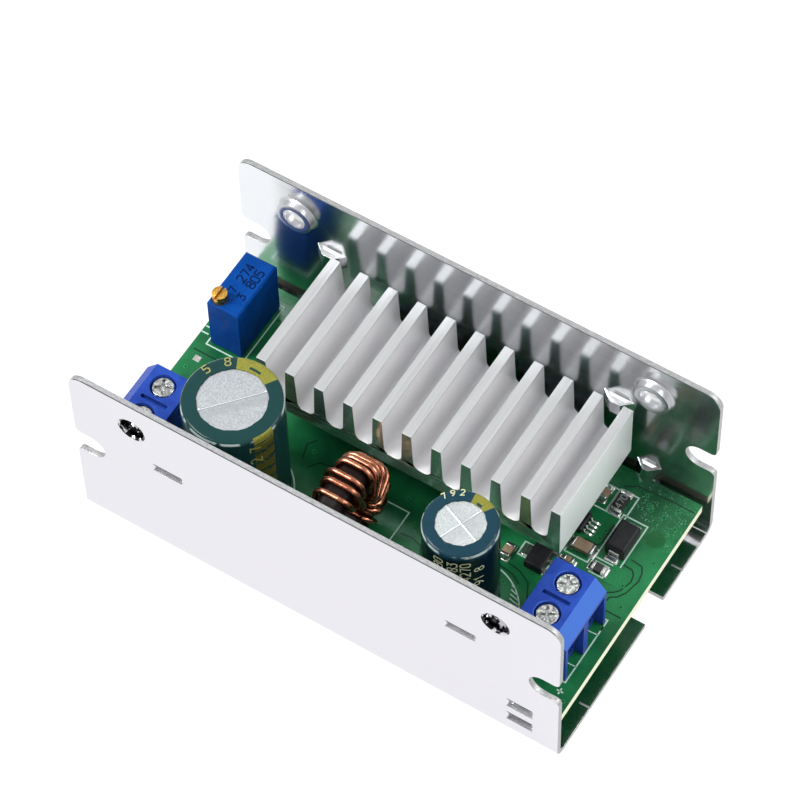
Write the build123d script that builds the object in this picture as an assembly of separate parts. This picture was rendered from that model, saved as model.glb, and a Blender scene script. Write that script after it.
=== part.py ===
from build123d import *
import math
import os

# Boost converter module: a circuit board held in an open folded-metal channel.
# Frame: +Z up, X along the channel (input end +X, output end -X),
# Y across it (near wall -Y, far wall +Y), origin at the middle of the underside.

os.makedirs("parts", exist_ok=True)

# ---------------------------------------------------------------- dimensions
CASE_L = 72.4          # channel length along X
CASE_W = 40.0          # outside width over both walls
CASE_H = 32.0          # wall height
SHEET = 0.8            # sheet thickness
BEND_R = 1.8           # outside bend radius
WALL_CORNER_R = 2.2    # rounded top corners of the walls

SLOT_W = 4.2           # open slots in the wall ends
SLOT_Z = 16.8
SLOT_DEPTH = 4.4
SLOT_LIP_R = 0.8

BASE_SLOT_W = 4.7      # open slots in the base ends
BASE_SLOT_Y = 4.7
BASE_SLOT_DEPTH = 6.0
RELIEF_Y = 11.9        # narrow relief cuts in the base ends
RELIEF_W = 0.3
RELIEF_DEPTH = 1.5

COLLAR_X = 26.9        # formed cover holes, collars drawn inward
COLLAR_Z = 26.5
COLLAR_BORE_R = 1.7
COLLAR_R = 2.65
COLLAR_H = 1.2

LANCE_IN = 1.3         # how far the lanced strips are pushed inward
FAR_LANCE_H = 2.4      # strips in the far wall
NEAR_UP_LANCE_H = 1.3
NEAR_LOW_LANCE_H = 1.8
UP_LANCE_X = (19.6, 24.1)
UP_LANCE_Z = 19.3
LOW_LANCE_X = {-1: (28.6, 32.5), 1: (24.9, 28.6)}

BOARD_Z0 = 5.4         # underside of the board
BOARD_T = 1.6
BOARD_Z1 = BOARD_Z0 + BOARD_T
BOARD_X0, BOARD_X1 = -35.7, 35.25
BOARD_W = 36.9

SINK_X0 = -20.6        # finned heatsink
SINK_Y0, SINK_Y1 = -1.0, 17.2
SINK_Z0 = 13.9
SINK_H = 9.6
SINK_BASE = 2.4
FIN_N = 11
FIN_PITCH = 4.42
FIN_TIP = 1.4
FIN_ROOT = 1.9

OUT_CAP = dict(x=-17.7, y=-10.5, r=6.5, top=28.6, pitch=5.0, lead=0.35, lap=4.6)
IN_CAP = dict(x=15.9, y=-10.1, r=4.8, top=27.0, pitch=5.0, lead=0.3, lap=3.25)
SLEEVE_T = 0.2

COIL = dict(x=-1.45, y=-10.68, z=15.15, ro=7.15, ri=4.2, h=4.0, wire=0.8)

TRIM_X0, TRIM_Y0 = -33.45, 6.3      # multi-turn trimmer
TRIM_W, TRIM_L, TRIM_H = 4.85, 9.5, 10.0

TERM_L, TERM_D, TERM_H = 10.16, 7.5, 10.0   # two-way rising-clamp terminals
TERM_PITCH = 5.08
IN_TERM_BACK, IN_TERM_Y = 25.7, -8.15
OUT_TERM_BACK, OUT_TERM_Y = -27.8, -10.23
TS_X = 3.25            # screw axis, measured from the back of the terminal
TS_HEAD_R, TS_SHAFT_R = 1.6, 1.25
TS_HOLE_R = 1.75
CAGE_TRAVEL = 2.0

Z = BOARD_Z1


def bx(x0, x1, y0, y1, z0, z1):
    return Pos((x0 + x1) / 2, (y0 + y1) / 2, (z0 + z1) / 2) * Box(
        abs(x1 - x0), abs(y1 - y0), abs(z1 - z0))


def cz(x, y, z0, z1, r):
    return Pos(x, y, (z0 + z1) / 2) * Cylinder(r, z1 - z0)


def cy(x, z, y0, y1, r):
    return Pos(x, (y0 + y1) / 2, z) * Rot(90, 0, 0) * Cylinder(r, abs(y1 - y0))


def cx(y, z, x0, x1, r):
    return Pos((x0 + x1) / 2, y, z) * Rot(0, 90, 0) * Cylinder(r, abs(x1 - x0))


def poly_xz(pts, y0, y1):
    f = make_face(Plane.XZ * Polyline(*pts, close=True))
    s = extrude(f, amount=(y1 - y0), dir=(0, 1, 0))
    return Pos(0, y0, 0) * s


def poly_xy(pts, z0, z1):
    f = make_face(Polyline(*pts, close=True))
    return Pos(0, 0, z0) * extrude(f, amount=z1 - z0)


def solids(*parts):
    out = []
    for p in parts:
        out += list(p.solids())
    return Compound(children=out)


def one(p):
    s = list(p.solids())
    return s[0] if len(s) == 1 else Compound(children=s)


NODES = {}


def save(name, shape):
    shape.label = name
    NODES[name] = shape
    export_step(shape, "parts/" + name + ".step")


# ---------------------------------------------------------------- folded channel
hl, hw = CASE_L / 2, CASE_W / 2
outer = bx(-hl, hl, -hw, hw, 0, CASE_H)
oe = [e for e in outer.edges().filter_by(Axis.X) if e.center().Z < 0.01]
outer = fillet(oe, BEND_R)
inner = bx(-hl - 1, hl + 1, -hw + SHEET, hw - SHEET, SHEET, CASE_H + 2)
ie = [e for e in inner.edges().filter_by(Axis.X) if e.center().Z < SHEET + 0.01]
inner = fillet(ie, BEND_R - SHEET)
case = outer - inner

# rounded top corners of both walls
te = [e for e in case.edges().filter_by(Axis.Y)
      if abs(e.center().Z - CASE_H) < 0.01 and abs(abs(e.center().X) - hl) < 0.01]
case = fillet(te, WALL_CORNER_R)


def lip(x_edge, sx, zc, w, r):
    """rounded mouth corners of an open slot in the XZ plane, through both walls"""
    out = None
    for s in (-1, 1):
        zc1 = zc + s * (w / 2 + r)
        blk = bx(x_edge - sx * r, x_edge + sx * 0.5, -hw - 1, hw + 1,
                 zc + s * (w / 2 - 0.01), zc1)
        blk = blk - cy(x_edge - sx * r, zc1, -hw - 2, hw + 2, r)
        out = blk if out is None else out + blk
    return out


for sx in (-1, 1):
    end = sx * hl
    cxr = end - sx * (SLOT_DEPTH - SLOT_W / 2)
    case = case - bx(cxr, end + sx * 1, -hw - 1, hw + 1, SLOT_Z - SLOT_W / 2, SLOT_Z + SLOT_W / 2)
    case = case - cy(cxr, SLOT_Z, -hw - 1, hw + 1, SLOT_W / 2)
    case = case - lip(end, sx, SLOT_Z, SLOT_W, SLOT_LIP_R)
    # base end: one open slot, off centre, and two narrow relief cuts
    by = sx * BASE_SLOT_Y
    bxr = end - sx * (BASE_SLOT_DEPTH - BASE_SLOT_W / 2)
    case = case - bx(bxr, end + sx * 1, by - BASE_SLOT_W / 2, by + BASE_SLOT_W / 2, -1, 2)
    case = case - cz(bxr, by, -1, 2, BASE_SLOT_W / 2)
    for sy in (-1, 1):
        case = case - bx(end - sx * RELIEF_DEPTH, end + sx * 1,
                         sy * RELIEF_Y - RELIEF_W / 2, sy * RELIEF_Y + RELIEF_W / 2, -1, 2)


def lance(x0, x1, z0, h, sy):
    """strip cut free above and below and pushed inward between its two ends"""
    yo, yi = sy * hw, sy * (hw - SHEET)
    d = -sy * LANCE_IN
    run = 1.15
    k = 0.33
    pts = [(x0, yo), (x0 + run, yo + d), (x1 - run, yo + d), (x1, yo),
           (x1, yi), (x1 - run - k, yi + d), (x0 + run + k, yi + d), (x0, yi)]
    hole = bx(x0, x1, yo + sy * 1, yi - sy * 0.3, z0, z0 + h)
    return hole, poly_xy(pts, z0, z0 + h)


lances = []
for sy in (-1, 1):
    for sx in (-1, 1):
        xs = sorted((sx * UP_LANCE_X[0], sx * UP_LANCE_X[1]))
        lances.append((xs[0], xs[1], UP_LANCE_Z, NEAR_UP_LANCE_H if sy < 0 else FAR_LANCE_H, sy))
    low_h = NEAR_LOW_LANCE_H if sy < 0 else FAR_LANCE_H
    lances.append((*LOW_LANCE_X[sy], BOARD_Z0 - low_h, low_h, sy))
    lances.append((*LOW_LANCE_X[sy], BOARD_Z1, low_h, sy))
for a in lances:
    hole, strip = lance(*a)
    case = case - hole
for a in lances:
    hole, strip = lance(*a)
    case = case + strip

# cover holes: drawn inward as short collars
for sy in (-1, 1):
    for sx in (-1, 1):
        px = sx * COLLAR_X
        yi = sy * (hw - SHEET)
        prof = Plane.XY * Polyline(
            (0, -0.4), (COLLAR_R + 0.5, -0.4), (COLLAR_R + 0.5, 0.0), (COLLAR_R + 0.15, 0.15),
            (COLLAR_R, 0.5), (COLLAR_R, COLLAR_H), (0, COLLAR_H), close=True)
        ring = revolve(make_face(prof), Axis.Y)
        # ring grows along +Y from the inner face: turned to point inward
        ring = ring if sy < 0 else Rot(180, 0, 0) * ring
        case = case + Pos(px, yi, COLLAR_Z) * ring
        mouth = Plane.XY * Polyline(
            (0, -SHEET - 0.2), (COLLAR_BORE_R + 0.45, -SHEET - 0.2), (COLLAR_BORE_R + 0.45, -SHEET),
            (COLLAR_BORE_R + 0.12, -SHEET + 0.13), (COLLAR_BORE_R, -SHEET + 0.45),
            (COLLAR_BORE_R, COLLAR_H + 0.2), (0, COLLAR_H + 0.2), close=True)
        cut = revolve(make_face(mouth), Axis.Y)
        cut = cut if sy < 0 else Rot(180, 0, 0) * cut
        case = case - Pos(px, yi, COLLAR_Z) * cut

# two pressed-up bosses carry the board at the output end
for sy in (-1, 1):
    bxp, byp = -33.1, sy * 15.9
    h = BOARD_Z0
    outer_c = Pos(bxp, byp, 0) * revolve(make_face(Plane.XZ * Polyline(
        (0, 0.3), (2.7, 0.3), (2.7, SHEET), (1.6, h), (0, h), close=True)), Axis.Z)
    inner_c = Pos(bxp, byp, 0) * revolve(make_face(Plane.XZ * Polyline(
        (0, -0.5), (2.0, -0.5), (1.85, 0.2), (0.9, h - SHEET), (0, h - SHEET), close=True)), Axis.Z)
    case = (case + outer_c) - inner_c
save("case_channel", one(case))

# ---------------------------------------------------------------- leads through the board
term_pins = []
for back, yc, s in ((IN_TERM_BACK, IN_TERM_Y, 1), (OUT_TERM_BACK, OUT_TERM_Y, -1)):
    for k in (-1, 1):
        term_pins.append((back + s * 1.2, yc + k * TERM_PITCH / 2))
cap_pins = []
for c in (OUT_CAP, IN_CAP):
    for k in (-1, 1):
        cap_pins.append((c["x"] + k * c["pitch"] / 2, c["y"], c["lead"]))
trim_pins = [(TRIM_X0 + 2.9, TRIM_Y0 + TRIM_L / 2 + k * 2.54) for k in (-1, 0, 1)]
coil_pins = [(COIL["x"] - 2.5, COIL["y"] - 2.6), (COIL["x"] - 2.5, COIL["y"] + 2.6)]

board = bx(BOARD_X0, BOARD_X1, -BOARD_W / 2, BOARD_W / 2, BOARD_Z0, BOARD_Z1)
for x, y in term_pins:
    board = board - cz(x, y, BOARD_Z0 - 1, BOARD_Z1 + 1, 0.7)
for x, y, r in cap_pins:
    board = board - cz(x, y, BOARD_Z0 - 1, BOARD_Z1 + 1, r + 0.15)
for x, y in trim_pins:
    board = board - cz(x, y, BOARD_Z0 - 1, BOARD_Z1 + 1, 0.4)
for x, y in coil_pins:
    board = board - cz(x, y, BOARD_Z0 - 1, BOARD_Z1 + 1, COIL["wire"] / 2 + 0.15)
save("circuit_board", one(board))

# solder cones on the underside, one round each lead
sold = []
for x, y in term_pins:
    sold.append(Pos(x, y, 0) * (Pos(0, 0, BOARD_Z0 - 0.5) * Cone(0.72, 1.35, 1.0) -
                                Pos(0, 0, BOARD_Z0 - 0.5) * Box(0.6, 1.0, 3)))
for x, y, r in cap_pins:
    sold.append(Pos(x, y, 0) * (Pos(0, 0, BOARD_Z0 - 0.4) * Cone(r + 0.15, 1.1, 0.8) -
                                cz(0, 0, 2, 7, r)))
for x, y in trim_pins:
    sold.append(Pos(x, y, 0) * (Pos(0, 0, BOARD_Z0 - 0.35) * Cone(0.4, 0.9, 0.7) -
                                cz(0, 0, 2, 7, 0.25)))
for x, y in coil_pins:
    sold.append(Pos(x, y, 0) * (Pos(0, 0, BOARD_Z0 - 0.4) * Cone(0.6, 1.2, 0.8) -
                                cz(0, 0, 2, 7, COIL["wire"] / 2)))
save("solder_joints", solids(*sold))

# ---------------------------------------------------------------- heatsink
sink_len = (FIN_N - 1) * FIN_PITCH + FIN_TIP
sx0, sx1 = SINK_X0, SINK_X0 + sink_len
zt = SINK_Z0 + SINK_H
zf = SINK_Z0 + SINK_BASE
sink = bx(sx0, sx1, SINK_Y0, SINK_Y1, SINK_Z0, zt)
for i in range(FIN_N - 1):
    a = sx0 + FIN_TIP / 2 + i * FIN_PITCH
    b = a + FIN_PITCH
    t0, t1 = a + FIN_TIP / 2, b - FIN_TIP / 2
    r0, r1 = a + FIN_ROOT / 2, b - FIN_ROOT / 2
    if i == 0:
        r0 = a + FIN_ROOT - FIN_TIP / 2
    if i == FIN_N - 2:
        r1 = b - FIN_ROOT + FIN_TIP / 2
    rr = 1.05
    with BuildSketch(Plane.XZ) as sk:
        with BuildLine():
            l1 = Line((t0, zt + 0.2), (r0, zf + rr))
            a1 = ThreePointArc((r0, zf + rr), (r0 + rr * 0.3, zf + rr * 0.3), (r0 + rr, zf))
            l2 = Line((r0 + rr, zf), (r1 - rr, zf))
            a2 = ThreePointArc((r1 - rr, zf), (r1 - rr * 0.3, zf + rr * 0.3), (r1, zf + rr))
            l3 = Line((r1, zf + rr), (t1, zt + 0.2))
            l4 = Line((t1, zt + 0.2), (t0, zt + 0.2))
        make_face()
    g = extrude(sk.sketch, amount=SINK_Y1 - SINK_Y0 + 2, dir=(0, 1, 0))
    sink = sink - Pos(0, SINK_Y0 - 1, 0) * g
save("heatsink", one(sink))

# ---------------------------------------------------------------- power devices under the heatsink
PAD_T = SINK_Z0 - Z - 4.4


def power_package(xc, yc):
    """body, tab and leads of a surface-mount power package, tab toward +Y"""
    zb = Z
    tab = bx(xc - 4.4, xc + 4.4, yc - 3.4, yc + 5.7, zb, zb + 1.3)
    body = bx(xc - 5.1, xc + 5.1, yc - 4.4, yc + 4.4, zb + 0.05, zb + 4.4) - tab
    leads = []
    for k in (-1, 1):
        x = xc + k * 2.54
        leads.append(bx(x - 0.4, x + 0.4, yc - 9.0, yc - 6.6, zb, zb + 0.5) +
                     bx(x - 0.4, x + 0.4, yc - 7.1, yc - 6.6, zb, zb + 2.9) +
                     bx(x - 0.4, x + 0.4, yc - 7.1, yc - 4.4, zb + 2.4, zb + 2.9))
    leads.append(bx(xc - 0.4, xc + 0.4, yc - 5.6, yc - 4.4, zb + 2.4, zb + 2.9))
    pad = bx(xc - 5.1, xc + 5.1, yc - 4.4, yc + 4.4, zb + 4.4, zb + 4.4 + PAD_T)
    return one(body), one(tab), solids(*leads), pad


b1, t1, l1, p1 = power_package(-8.6, 12.2)
b2, t2, l2, p2 = power_package(10.4, 12.2)
save("rectifier_body", b1)
save("rectifier_tab", t1)
save("rectifier_leads", l1)
save("switch_transistor_body", b2)
save("switch_transistor_tab", t2)
save("switch_transistor_leads", l2)
save("thermal_pads", solids(p1, p2))

# ---------------------------------------------------------------- electrolytic capacitors


def capacitor(c, cross):
    x, y, r, top = c["x"], c["y"], c["r"], c["top"]
    z0 = Z + 0.3
    zc = top - SLEEVE_T - 0.05
    gz = z0 + 2.6
    half = Plane.XZ * make_face(Polyline(
        (0, z0 + 1.2), (r - 0.9, z0 + 1.2), (r - 0.9, z0), (r - 0.35, z0), (r - 0.1, z0 + 0.3), (r, z0 + 0.8),
        (r, gz - 0.7), (r - 0.55, gz - 0.15), (r - 0.55, gz + 0.15), (r, gz + 0.7),
        (r, zc - 0.7), (r - 0.12, zc - 0.35), (r - 0.32, zc - 0.12), (r - 0.65, zc), (0, zc), close=True))
    can = revolve(half, Axis.Z)
    # vent score in the top
    w, d = 0.22, 0.14
    lines = [49.0] if not cross else [67.5, 157.5]
    for a in lines:
        can = can - Rot(0, 0, a) * bx(-c["lap"] * 0.93, c["lap"] * 0.93, -w / 2, w / 2, zc - d, zc + 1)
    can = Pos(x, y, 0) * can
    t = SLEEVE_T
    hs = Plane.XZ * make_face(Polyline(
        (r, z0 + 0.8), (r + t, z0 + 0.8), (r + t, zc - 0.62), (r + t - 0.10, zc - 0.2), (r - 0.2, zc + t - 0.04),
        (r - 0.55, zc + t), (c["lap"], zc + t), (c["lap"], zc), (r - 0.65, zc), (r - 0.32, zc - 0.12),
        (r - 0.12, zc - 0.35), (r, zc - 0.7), close=True))
    sleeve = Pos(x, y, 0) * revolve(hs, Axis.Z)
    bung = cz(x, y, z0 + 0.1, z0 + 1.2, r - 0.9)
    leads = []
    for k in (-1, 1):
        lx = x + k * c["pitch"] / 2
        bung = bung - cz(lx, y, z0 - 1, z0 + 2, c["lead"])
        leads.append(cz(lx, y, BOARD_Z0 - 1.2, z0 + 1.2, c["lead"]))
    return one(can), one(sleeve), one(bung), solids(*leads)


for nm, c, cross in (("output_capacitor", OUT_CAP, False), ("input_capacitor", IN_CAP, True)):
    can, sl, bu, le = capacitor(c, cross)
    save(nm + "_can", can)
    save(nm + "_sleeve", sl)
    save(nm + "_bung", bu)
    save(nm + "_leads", le)

# ---------------------------------------------------------------- inductor on edge, axis along X
ci = COIL
core = cx(ci["y"], ci["z"], ci["x"] - ci["h"] / 2, ci["x"] + ci["h"] / 2, ci["ro"]) - \
    cx(ci["y"], ci["z"], ci["x"] - ci["h"], ci["x"] + ci["h"], ci["ri"])
ce = [e for e in core.edges() if e.geom_type == GeomType.CIRCLE]
core = fillet(ce, 1.25)
save("inductor_core", one(core))

# one enamelled wire: spaced turns on top and on the near side, close turns on the far side
wr = ci["wire"] / 2
gap = 0.03
# angle outside, angle inside the hole, layer inside the hole
# angle 0 is straight up, positive toward the far wall (+Y)
turns = [(-78, -78, 0), (-54, -50, 0), (-17, -14, 0), (-3.2, 6, 1), (7.3, 20, 0),
         (26.5, 46, 0), (36.5, 53, 1), (46.5, 60, 0), (56.5, 67, 1), (66.5, 74, 0),
         (76.5, 81, 1), (87, 88, 0), (97.5, 98, 1), (108.5, 103, 0), (120.5, 116, 1),
         (133.5, 131, 0), (147.5, 146, 0)]


def tp(ang, rad, dx):
    a = math.radians(ang)
    return (ci["x"] + dx, ci["y"] + rad * math.sin(a), ci["z"] + rad * math.cos(a))


ro_w = ci["ro"] + wr + gap
ri_a = ci["ri"] - wr - gap
xf = ci["h"] / 2 + wr + gap
path = [(coil_pins[0][0], coil_pins[0][1], BOARD_Z0 - 1.2),
        (coil_pins[0][0], coil_pins[0][1], 8.2),
        tp(turns[0][0], ro_w, -xf)]
radii = [0.55, 0.8]
for i, (a_out, a_in, layer) in enumerate(turns):
    off = 0.84 * layer
    path.append(tp(a_out, ro_w, xf))
    path.append(tp(a_in, ri_a - off, xf + off))
    path.append(tp(a_in, ri_a - off, -xf - off))
    radii += [1.5, 1.1, 1.1]
    if i + 1 < len(turns):
        path.append(tp(turns[i + 1][0], ro_w, -xf))
        radii.append(1.5)
last = coil_pins[1]
path.append((last[0], last[1], 8.4))
path.append((last[0], last[1], BOARD_Z0 - 1.2))
radii[-1] = 0.8
radii.append(0.55)
wire_path = FilletPolyline(*path, radius=radii)
sec = Plane(origin=wire_path @ 0, z_dir=wire_path % 0) * Circle(wr)
winding = sweep(sec, path=wire_path)
wl = wire_path.length
print("winding length %.2f mm, volume %.3f mm3, section x length %.3f mm3" %
      (wl, winding.volume, math.pi * wr * wr * wl))
save("inductor_winding", one(winding))

# ---------------------------------------------------------------- multi-turn trimmer
x0, y0, z0 = TRIM_X0, TRIM_Y0, Z
x1, y1, z1 = x0 + TRIM_W, y0 + TRIM_L, z0 + TRIM_H
SCX, SCY = x0 + 1.25, y0 + 1.3
WH_R, WH_X0, WH_X1 = 3.0, x0 + 0.75, x0 + 1.75
WH_Y, WH_Z = SCY + 0.6 + 0.08 + WH_R, z0 + 5.0
housing = bx(x0, x1, y0, y1, z0 + 0.35, z1)
housing = chamfer(housing.edges().group_by(Axis.Z)[-1], 0.25)
for fx, fy in ((x0 + 0.1, y0 + 0.1), (x1 - 0.9, y0 + 0.1), (x0 + 0.1, y1 - 0.9), (x1 - 0.9, y1 - 0.9)):
    housing = housing + bx(fx, fx + 0.8, fy, fy + 0.8, z0, z0 + 0.5)
cav = bx(x0 + 0.5, x1 - 0.5, y0 + 0.55, y1 - 0.6, z0 + 1.35, z1 - 1.1)
housing = housing - cav
boss = cx(WH_Y, WH_Z, x0 + 0.3, x0 + 1.9, 0.6)
housing = housing + boss
housing = housing - cz(SCX, SCY, z1 - 1.3, z1 + 1, 0.7)
housing = housing - cz(SCX, SCY, z1 - 0.45, z1 + 1, 1.15)
for x, y in trim_pins:
    housing = housing - cz(x, y, z0 - 1, z0 + 1.5, 0.25)
save("trimmer_housing", one(housing))

element = bx(x1 - 1.1, x1 - 0.5, y0 + 0.7, y1 - 0.75, z0 + 1.35, z1 - 1.3)
save("trimmer_element", one(element))

screw = cz(SCX, SCY, z0 + 2.4, z0 + 7.6, 0.6) + cz(SCX, SCY, z0 + 7.5, z1 + 0.3, 0.64) + \
    cz(SCX, SCY, z1 + 0.25, z1 + 1.4, 1.05)
screw = screw - bx(SCX - 0.18, SCX + 0.18, SCY - 2, SCY + 2, z1 + 0.75, z1 + 2)
save("trimmer_screw", one(screw))

oring = Pos(SCX, SCY, z1 - 0.16) * Torus(0.89, 0.22)
save("trimmer_seal_ring", one(oring))

wheel = cx(WH_Y, WH_Z, WH_X0, WH_X1, WH_R) - cx(WH_Y, WH_Z, WH_X0 - 1, WH_X1 + 1, 0.65)
for i in range(30):
    a = math.radians(12 * i)
    notch = Pos((WH_X0 + WH_X1) / 2, WH_Y + WH_R * math.cos(a), WH_Z + WH_R * math.sin(a)) * \
        Rot(12 * i, 0, 0) * Box(2, 0.4, 0.26)
    wheel = wheel - notch
save("trimmer_rotor", one(wheel))

wiper = bx(WH_X1, WH_X1 + 0.15, WH_Y - 0.5, WH_Y + 0.5, WH_Z + 0.8, WH_Z + 2.7) + \
    bx(WH_X1, x1 - 1.15, WH_Y - 0.3, WH_Y + 0.3, WH_Z + 2.2, WH_Z + 2.5)
save("trimmer_wiper", one(wiper))

save("trimmer_pins", solids(*[cz(x, y, BOARD_Z0 - 1.0, z0 + 1.35, 0.25) for x, y in trim_pins]))

# ---------------------------------------------------------------- rising-clamp screw terminals


def terminal(back, yc, s):
    """s = +1 faces +X, s = -1 faces -X; local x runs from the back to the wire side"""
    def X(v):
        return back + s * v
    zt_ = Z + TERM_H
    prof = [(X(0), Z), (X(TERM_D), Z), (X(TERM_D), Z + 7.9), (X(5.8), zt_), (X(0), zt_)]
    body = poly_xz(prof, yc - TERM_L / 2, yc + TERM_L / 2)
    contacts, screws, cages = [], [], []
    for k in (-1, 1):
        y = yc + k * TERM_PITCH / 2
        body = body - bx(X(0.7), X(5.5), y - 1.95, y + 1.95, Z + 0.6, Z + 8.0)
        body = body - bx(X(6.2), X(8.0), y - 1.95, y + 1.95, Z - 1, Z + 7.25)
        body = body - bx(X(5.4), X(6.3), y - 1.6, y + 1.6, Z + 0.9, Z + 4.4)
        body = body - cz(X(TS_X), y, Z + 7.9, zt_ + 1, TS_SHAFT_R + 0.05)
        body = body - cz(X(TS_X), y, Z + 8.35, zt_ + 1, TS_HOLE_R)
        body = body - bx(X(0.85), X(1.55), y - 1.3, y + 1.3, Z - 1, Z + 0.7)
        # fixed contact: strip, leg and pin
        strip = bx(X(0.9), X(5.2), y - 1.25, y + 1.25, Z + 3.9, Z + 4.4)
        leg = bx(X(0.9), X(1.5), y - 1.25, y + 1.25, Z + 0.02, Z + 4.4)
        pin = bx(X(0.9), X(1.5), y - 0.5, y + 0.5, BOARD_Z0 - 1.4, Z + 0.1)
        contacts.append(strip + leg + pin)
        # rising cage at its lowest
        cg = bx(X(1.65), X(5.2), y - 1.85, y + 1.85, Z + 0.68, Z + 5.8)
        cg = cg - bx(X(1.0), X(6.0), y - 1.4, y + 1.4, Z + 1.4, Z + 4.6)
        cg = cg - cz(X(TS_X), y, Z + 4, Z + 7, TS_SHAFT_R + 0.05)
        cages.append(cg)
        # slotted cross-head clamp screw
        sc = cz(X(TS_X), y, Z + 4.65, Z + 8.4, TS_SHAFT_R) + cz(X(TS_X), y, Z + 8.4, Z + 9.75, TS_HEAD_R)
        tp_e = sc.edges().group_by(Axis.Z)[-1]
        sc = chamfer(tp_e, 0.2)
        for a in (28, 118):
            sc = sc - Pos(X(TS_X), y, Z + 9.75) * Rot(0, 0, a) * Box(2.3, 0.42, 1.3)
        screws.append(sc)
    # groove between the two screws
    body = body - bx(X(1.0), X(5.0), yc - 0.28, yc + 0.28, zt_ - 0.8, zt_ + 1)
    return one(body), contacts, screws, cages


for nm, back, yc, s in (("input_terminal", IN_TERM_BACK, IN_TERM_Y, 1),
                        ("output_terminal", OUT_TERM_BACK, OUT_TERM_Y, -1)):
    body, contacts, screws, cages = terminal(back, yc, s)
    save(nm + "_housing", body)
    save(nm + "_contacts", solids(*contacts))
    for tag, i in (("near", 0), ("far", 1)):
        save(nm + "_screw_" + tag, one(screws[i]))
        save(nm + "_cage_" + tag, one(cages[i]))

# ---------------------------------------------------------------- small surface-mount parts


def gull(xs, y, w, z_sh, x_foot, sgn):
    """one gull-wing lead running along X from the body side at xs"""
    t = 0.17
    a = bx(xs, xs + sgn * 0.3, y - w / 2, y + w / 2, z_sh, z_sh + t)
    b = bx(xs + sgn * 0.18, xs + sgn * (0.18 + t), y - w / 2, y + w / 2, Z, z_sh + t)
    c = bx(xs + sgn * 0.18, x_foot, y - w / 2, y + w / 2, Z, Z + t)
    return a + b + c


ic_x, ic_y = 22.35, 8.0
ic_body = bx(ic_x - 1.5, ic_x + 1.5, ic_y - 1.5, ic_y + 1.5, Z + 0.1, Z + 1.0)
ic_body = chamfer(ic_body.edges().group_by(Axis.Z)[-1], 0.12)
save("control_ic_body", one(ic_body))
lds = []
for k in range(4):
    y = ic_y + (k - 1.5) * 0.65
    lds.append(gull(ic_x + 1.5, y, 0.3, Z + 0.45, ic_x + 2.6, 1))
    lds.append(gull(ic_x - 1.5, y, 0.3, Z + 0.45, ic_x - 2.6, -1))
save("control_ic_leads", solids(*lds))

rg_x, rg_y = 21.3, 0.75
rg = bx(rg_x - 1.3, rg_x + 1.3, rg_y - 2.25, rg_y + 2.25, Z + 0.02, Z + 1.5)
rg = chamfer(rg.edges().group_by(Axis.Z)[-1], 0.15)
rg_tab = bx(rg_x - 2.2, rg_x - 0.2, rg_y - 0.85, rg_y + 0.85, Z, Z + 0.4)
rg_leads = [rg_tab]
for k in (-1, 0, 1):
    rg_leads.append(bx(rg_x + 0.9, rg_x + 2.2, rg_y + k * 1.5 - 0.22, rg_y + k * 1.5 + 0.22, Z, Z + 0.4))
for q in rg_leads:
    rg = rg - q
save("regulator_body", one(rg))
save("regulator_leads", solids(*rg_leads))

dx, dy = 29.25, 8.1
dbody = bx(dx - 1.4, dx + 1.4, dy - 2.2, dy + 2.2, Z + 0.1, Z + 2.2)
dbody = chamfer(dbody.edges().group_by(Axis.Z)[-1], 0.25)
dtabs = []
for k in (-1, 1):
    ye = dy + k * 2.2
    tb = bx(dx - 0.75, dx + 0.75, ye, ye + k * 0.25, Z, Z + 1.2) + \
        bx(dx - 0.75, dx + 0.75, ye - k * 0.9, ye + k * 0.5, Z, Z + 0.2)
    dtabs.append(tb)
    dbody = dbody - tb
save("diode_body", one(dbody))
save("diode_tabs", solids(*dtabs))


def chip(x, y, l, w, h, along_x, e=0.45):
    """two-terminal chip: ceramic body between two metal ends"""
    if along_x:
        b = bx(x - l / 2 + e, x + l / 2 - e, y - w / 2, y + w / 2, Z + 0.02, Z + h)
        ends = [bx(x - l / 2, x - l / 2 + e, y - w / 2, y + w / 2, Z, Z + h),
                bx(x + l / 2 - e, x + l / 2, y - w / 2, y + w / 2, Z, Z + h)]
    else:
        b = bx(x - w / 2, x + w / 2, y - l / 2 + e, y + l / 2 - e, Z + 0.02, Z + h)
        ends = [bx(x - w / 2, x + w / 2, y - l / 2, y - l / 2 + e, Z, Z + h),
                bx(x - w / 2, x + w / 2, y + l / 2 - e, y + l / 2, Z, Z + h)]
    return b, ends


rb, re_ = [], []
for args in ((26.0, 13.2, 3.2, 1.6, 0.55, False), (28.5, 3.2, 2.0, 1.25, 0.5, True)):
    b, e = chip(*args)
    rb.append(b)
    re_ += e
save("chip_resistor_bodies", solids(*rb))
save("chip_resistor_ends", solids(*re_))
cb, cends = [], []
for args in ((23.55, 13.3, 2.0, 1.25, 0.85, False), (25.2, 4.85, 3.2, 1.6, 0.9, True),
             (17.2, -0.7, 2.0, 1.25, 0.85, False), (24.55, 2.2, 1.6, 0.8, 0.7, True)):
    b, e = chip(*args)
    cb.append(b)
    cends += e
save("chip_capacitor_bodies", solids(*cb))
save("chip_capacitor_ends", solids(*cends))

print(len(NODES), "nodes")
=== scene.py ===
import bpy
import math
import random
from mathutils import Matrix, Vector


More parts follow.
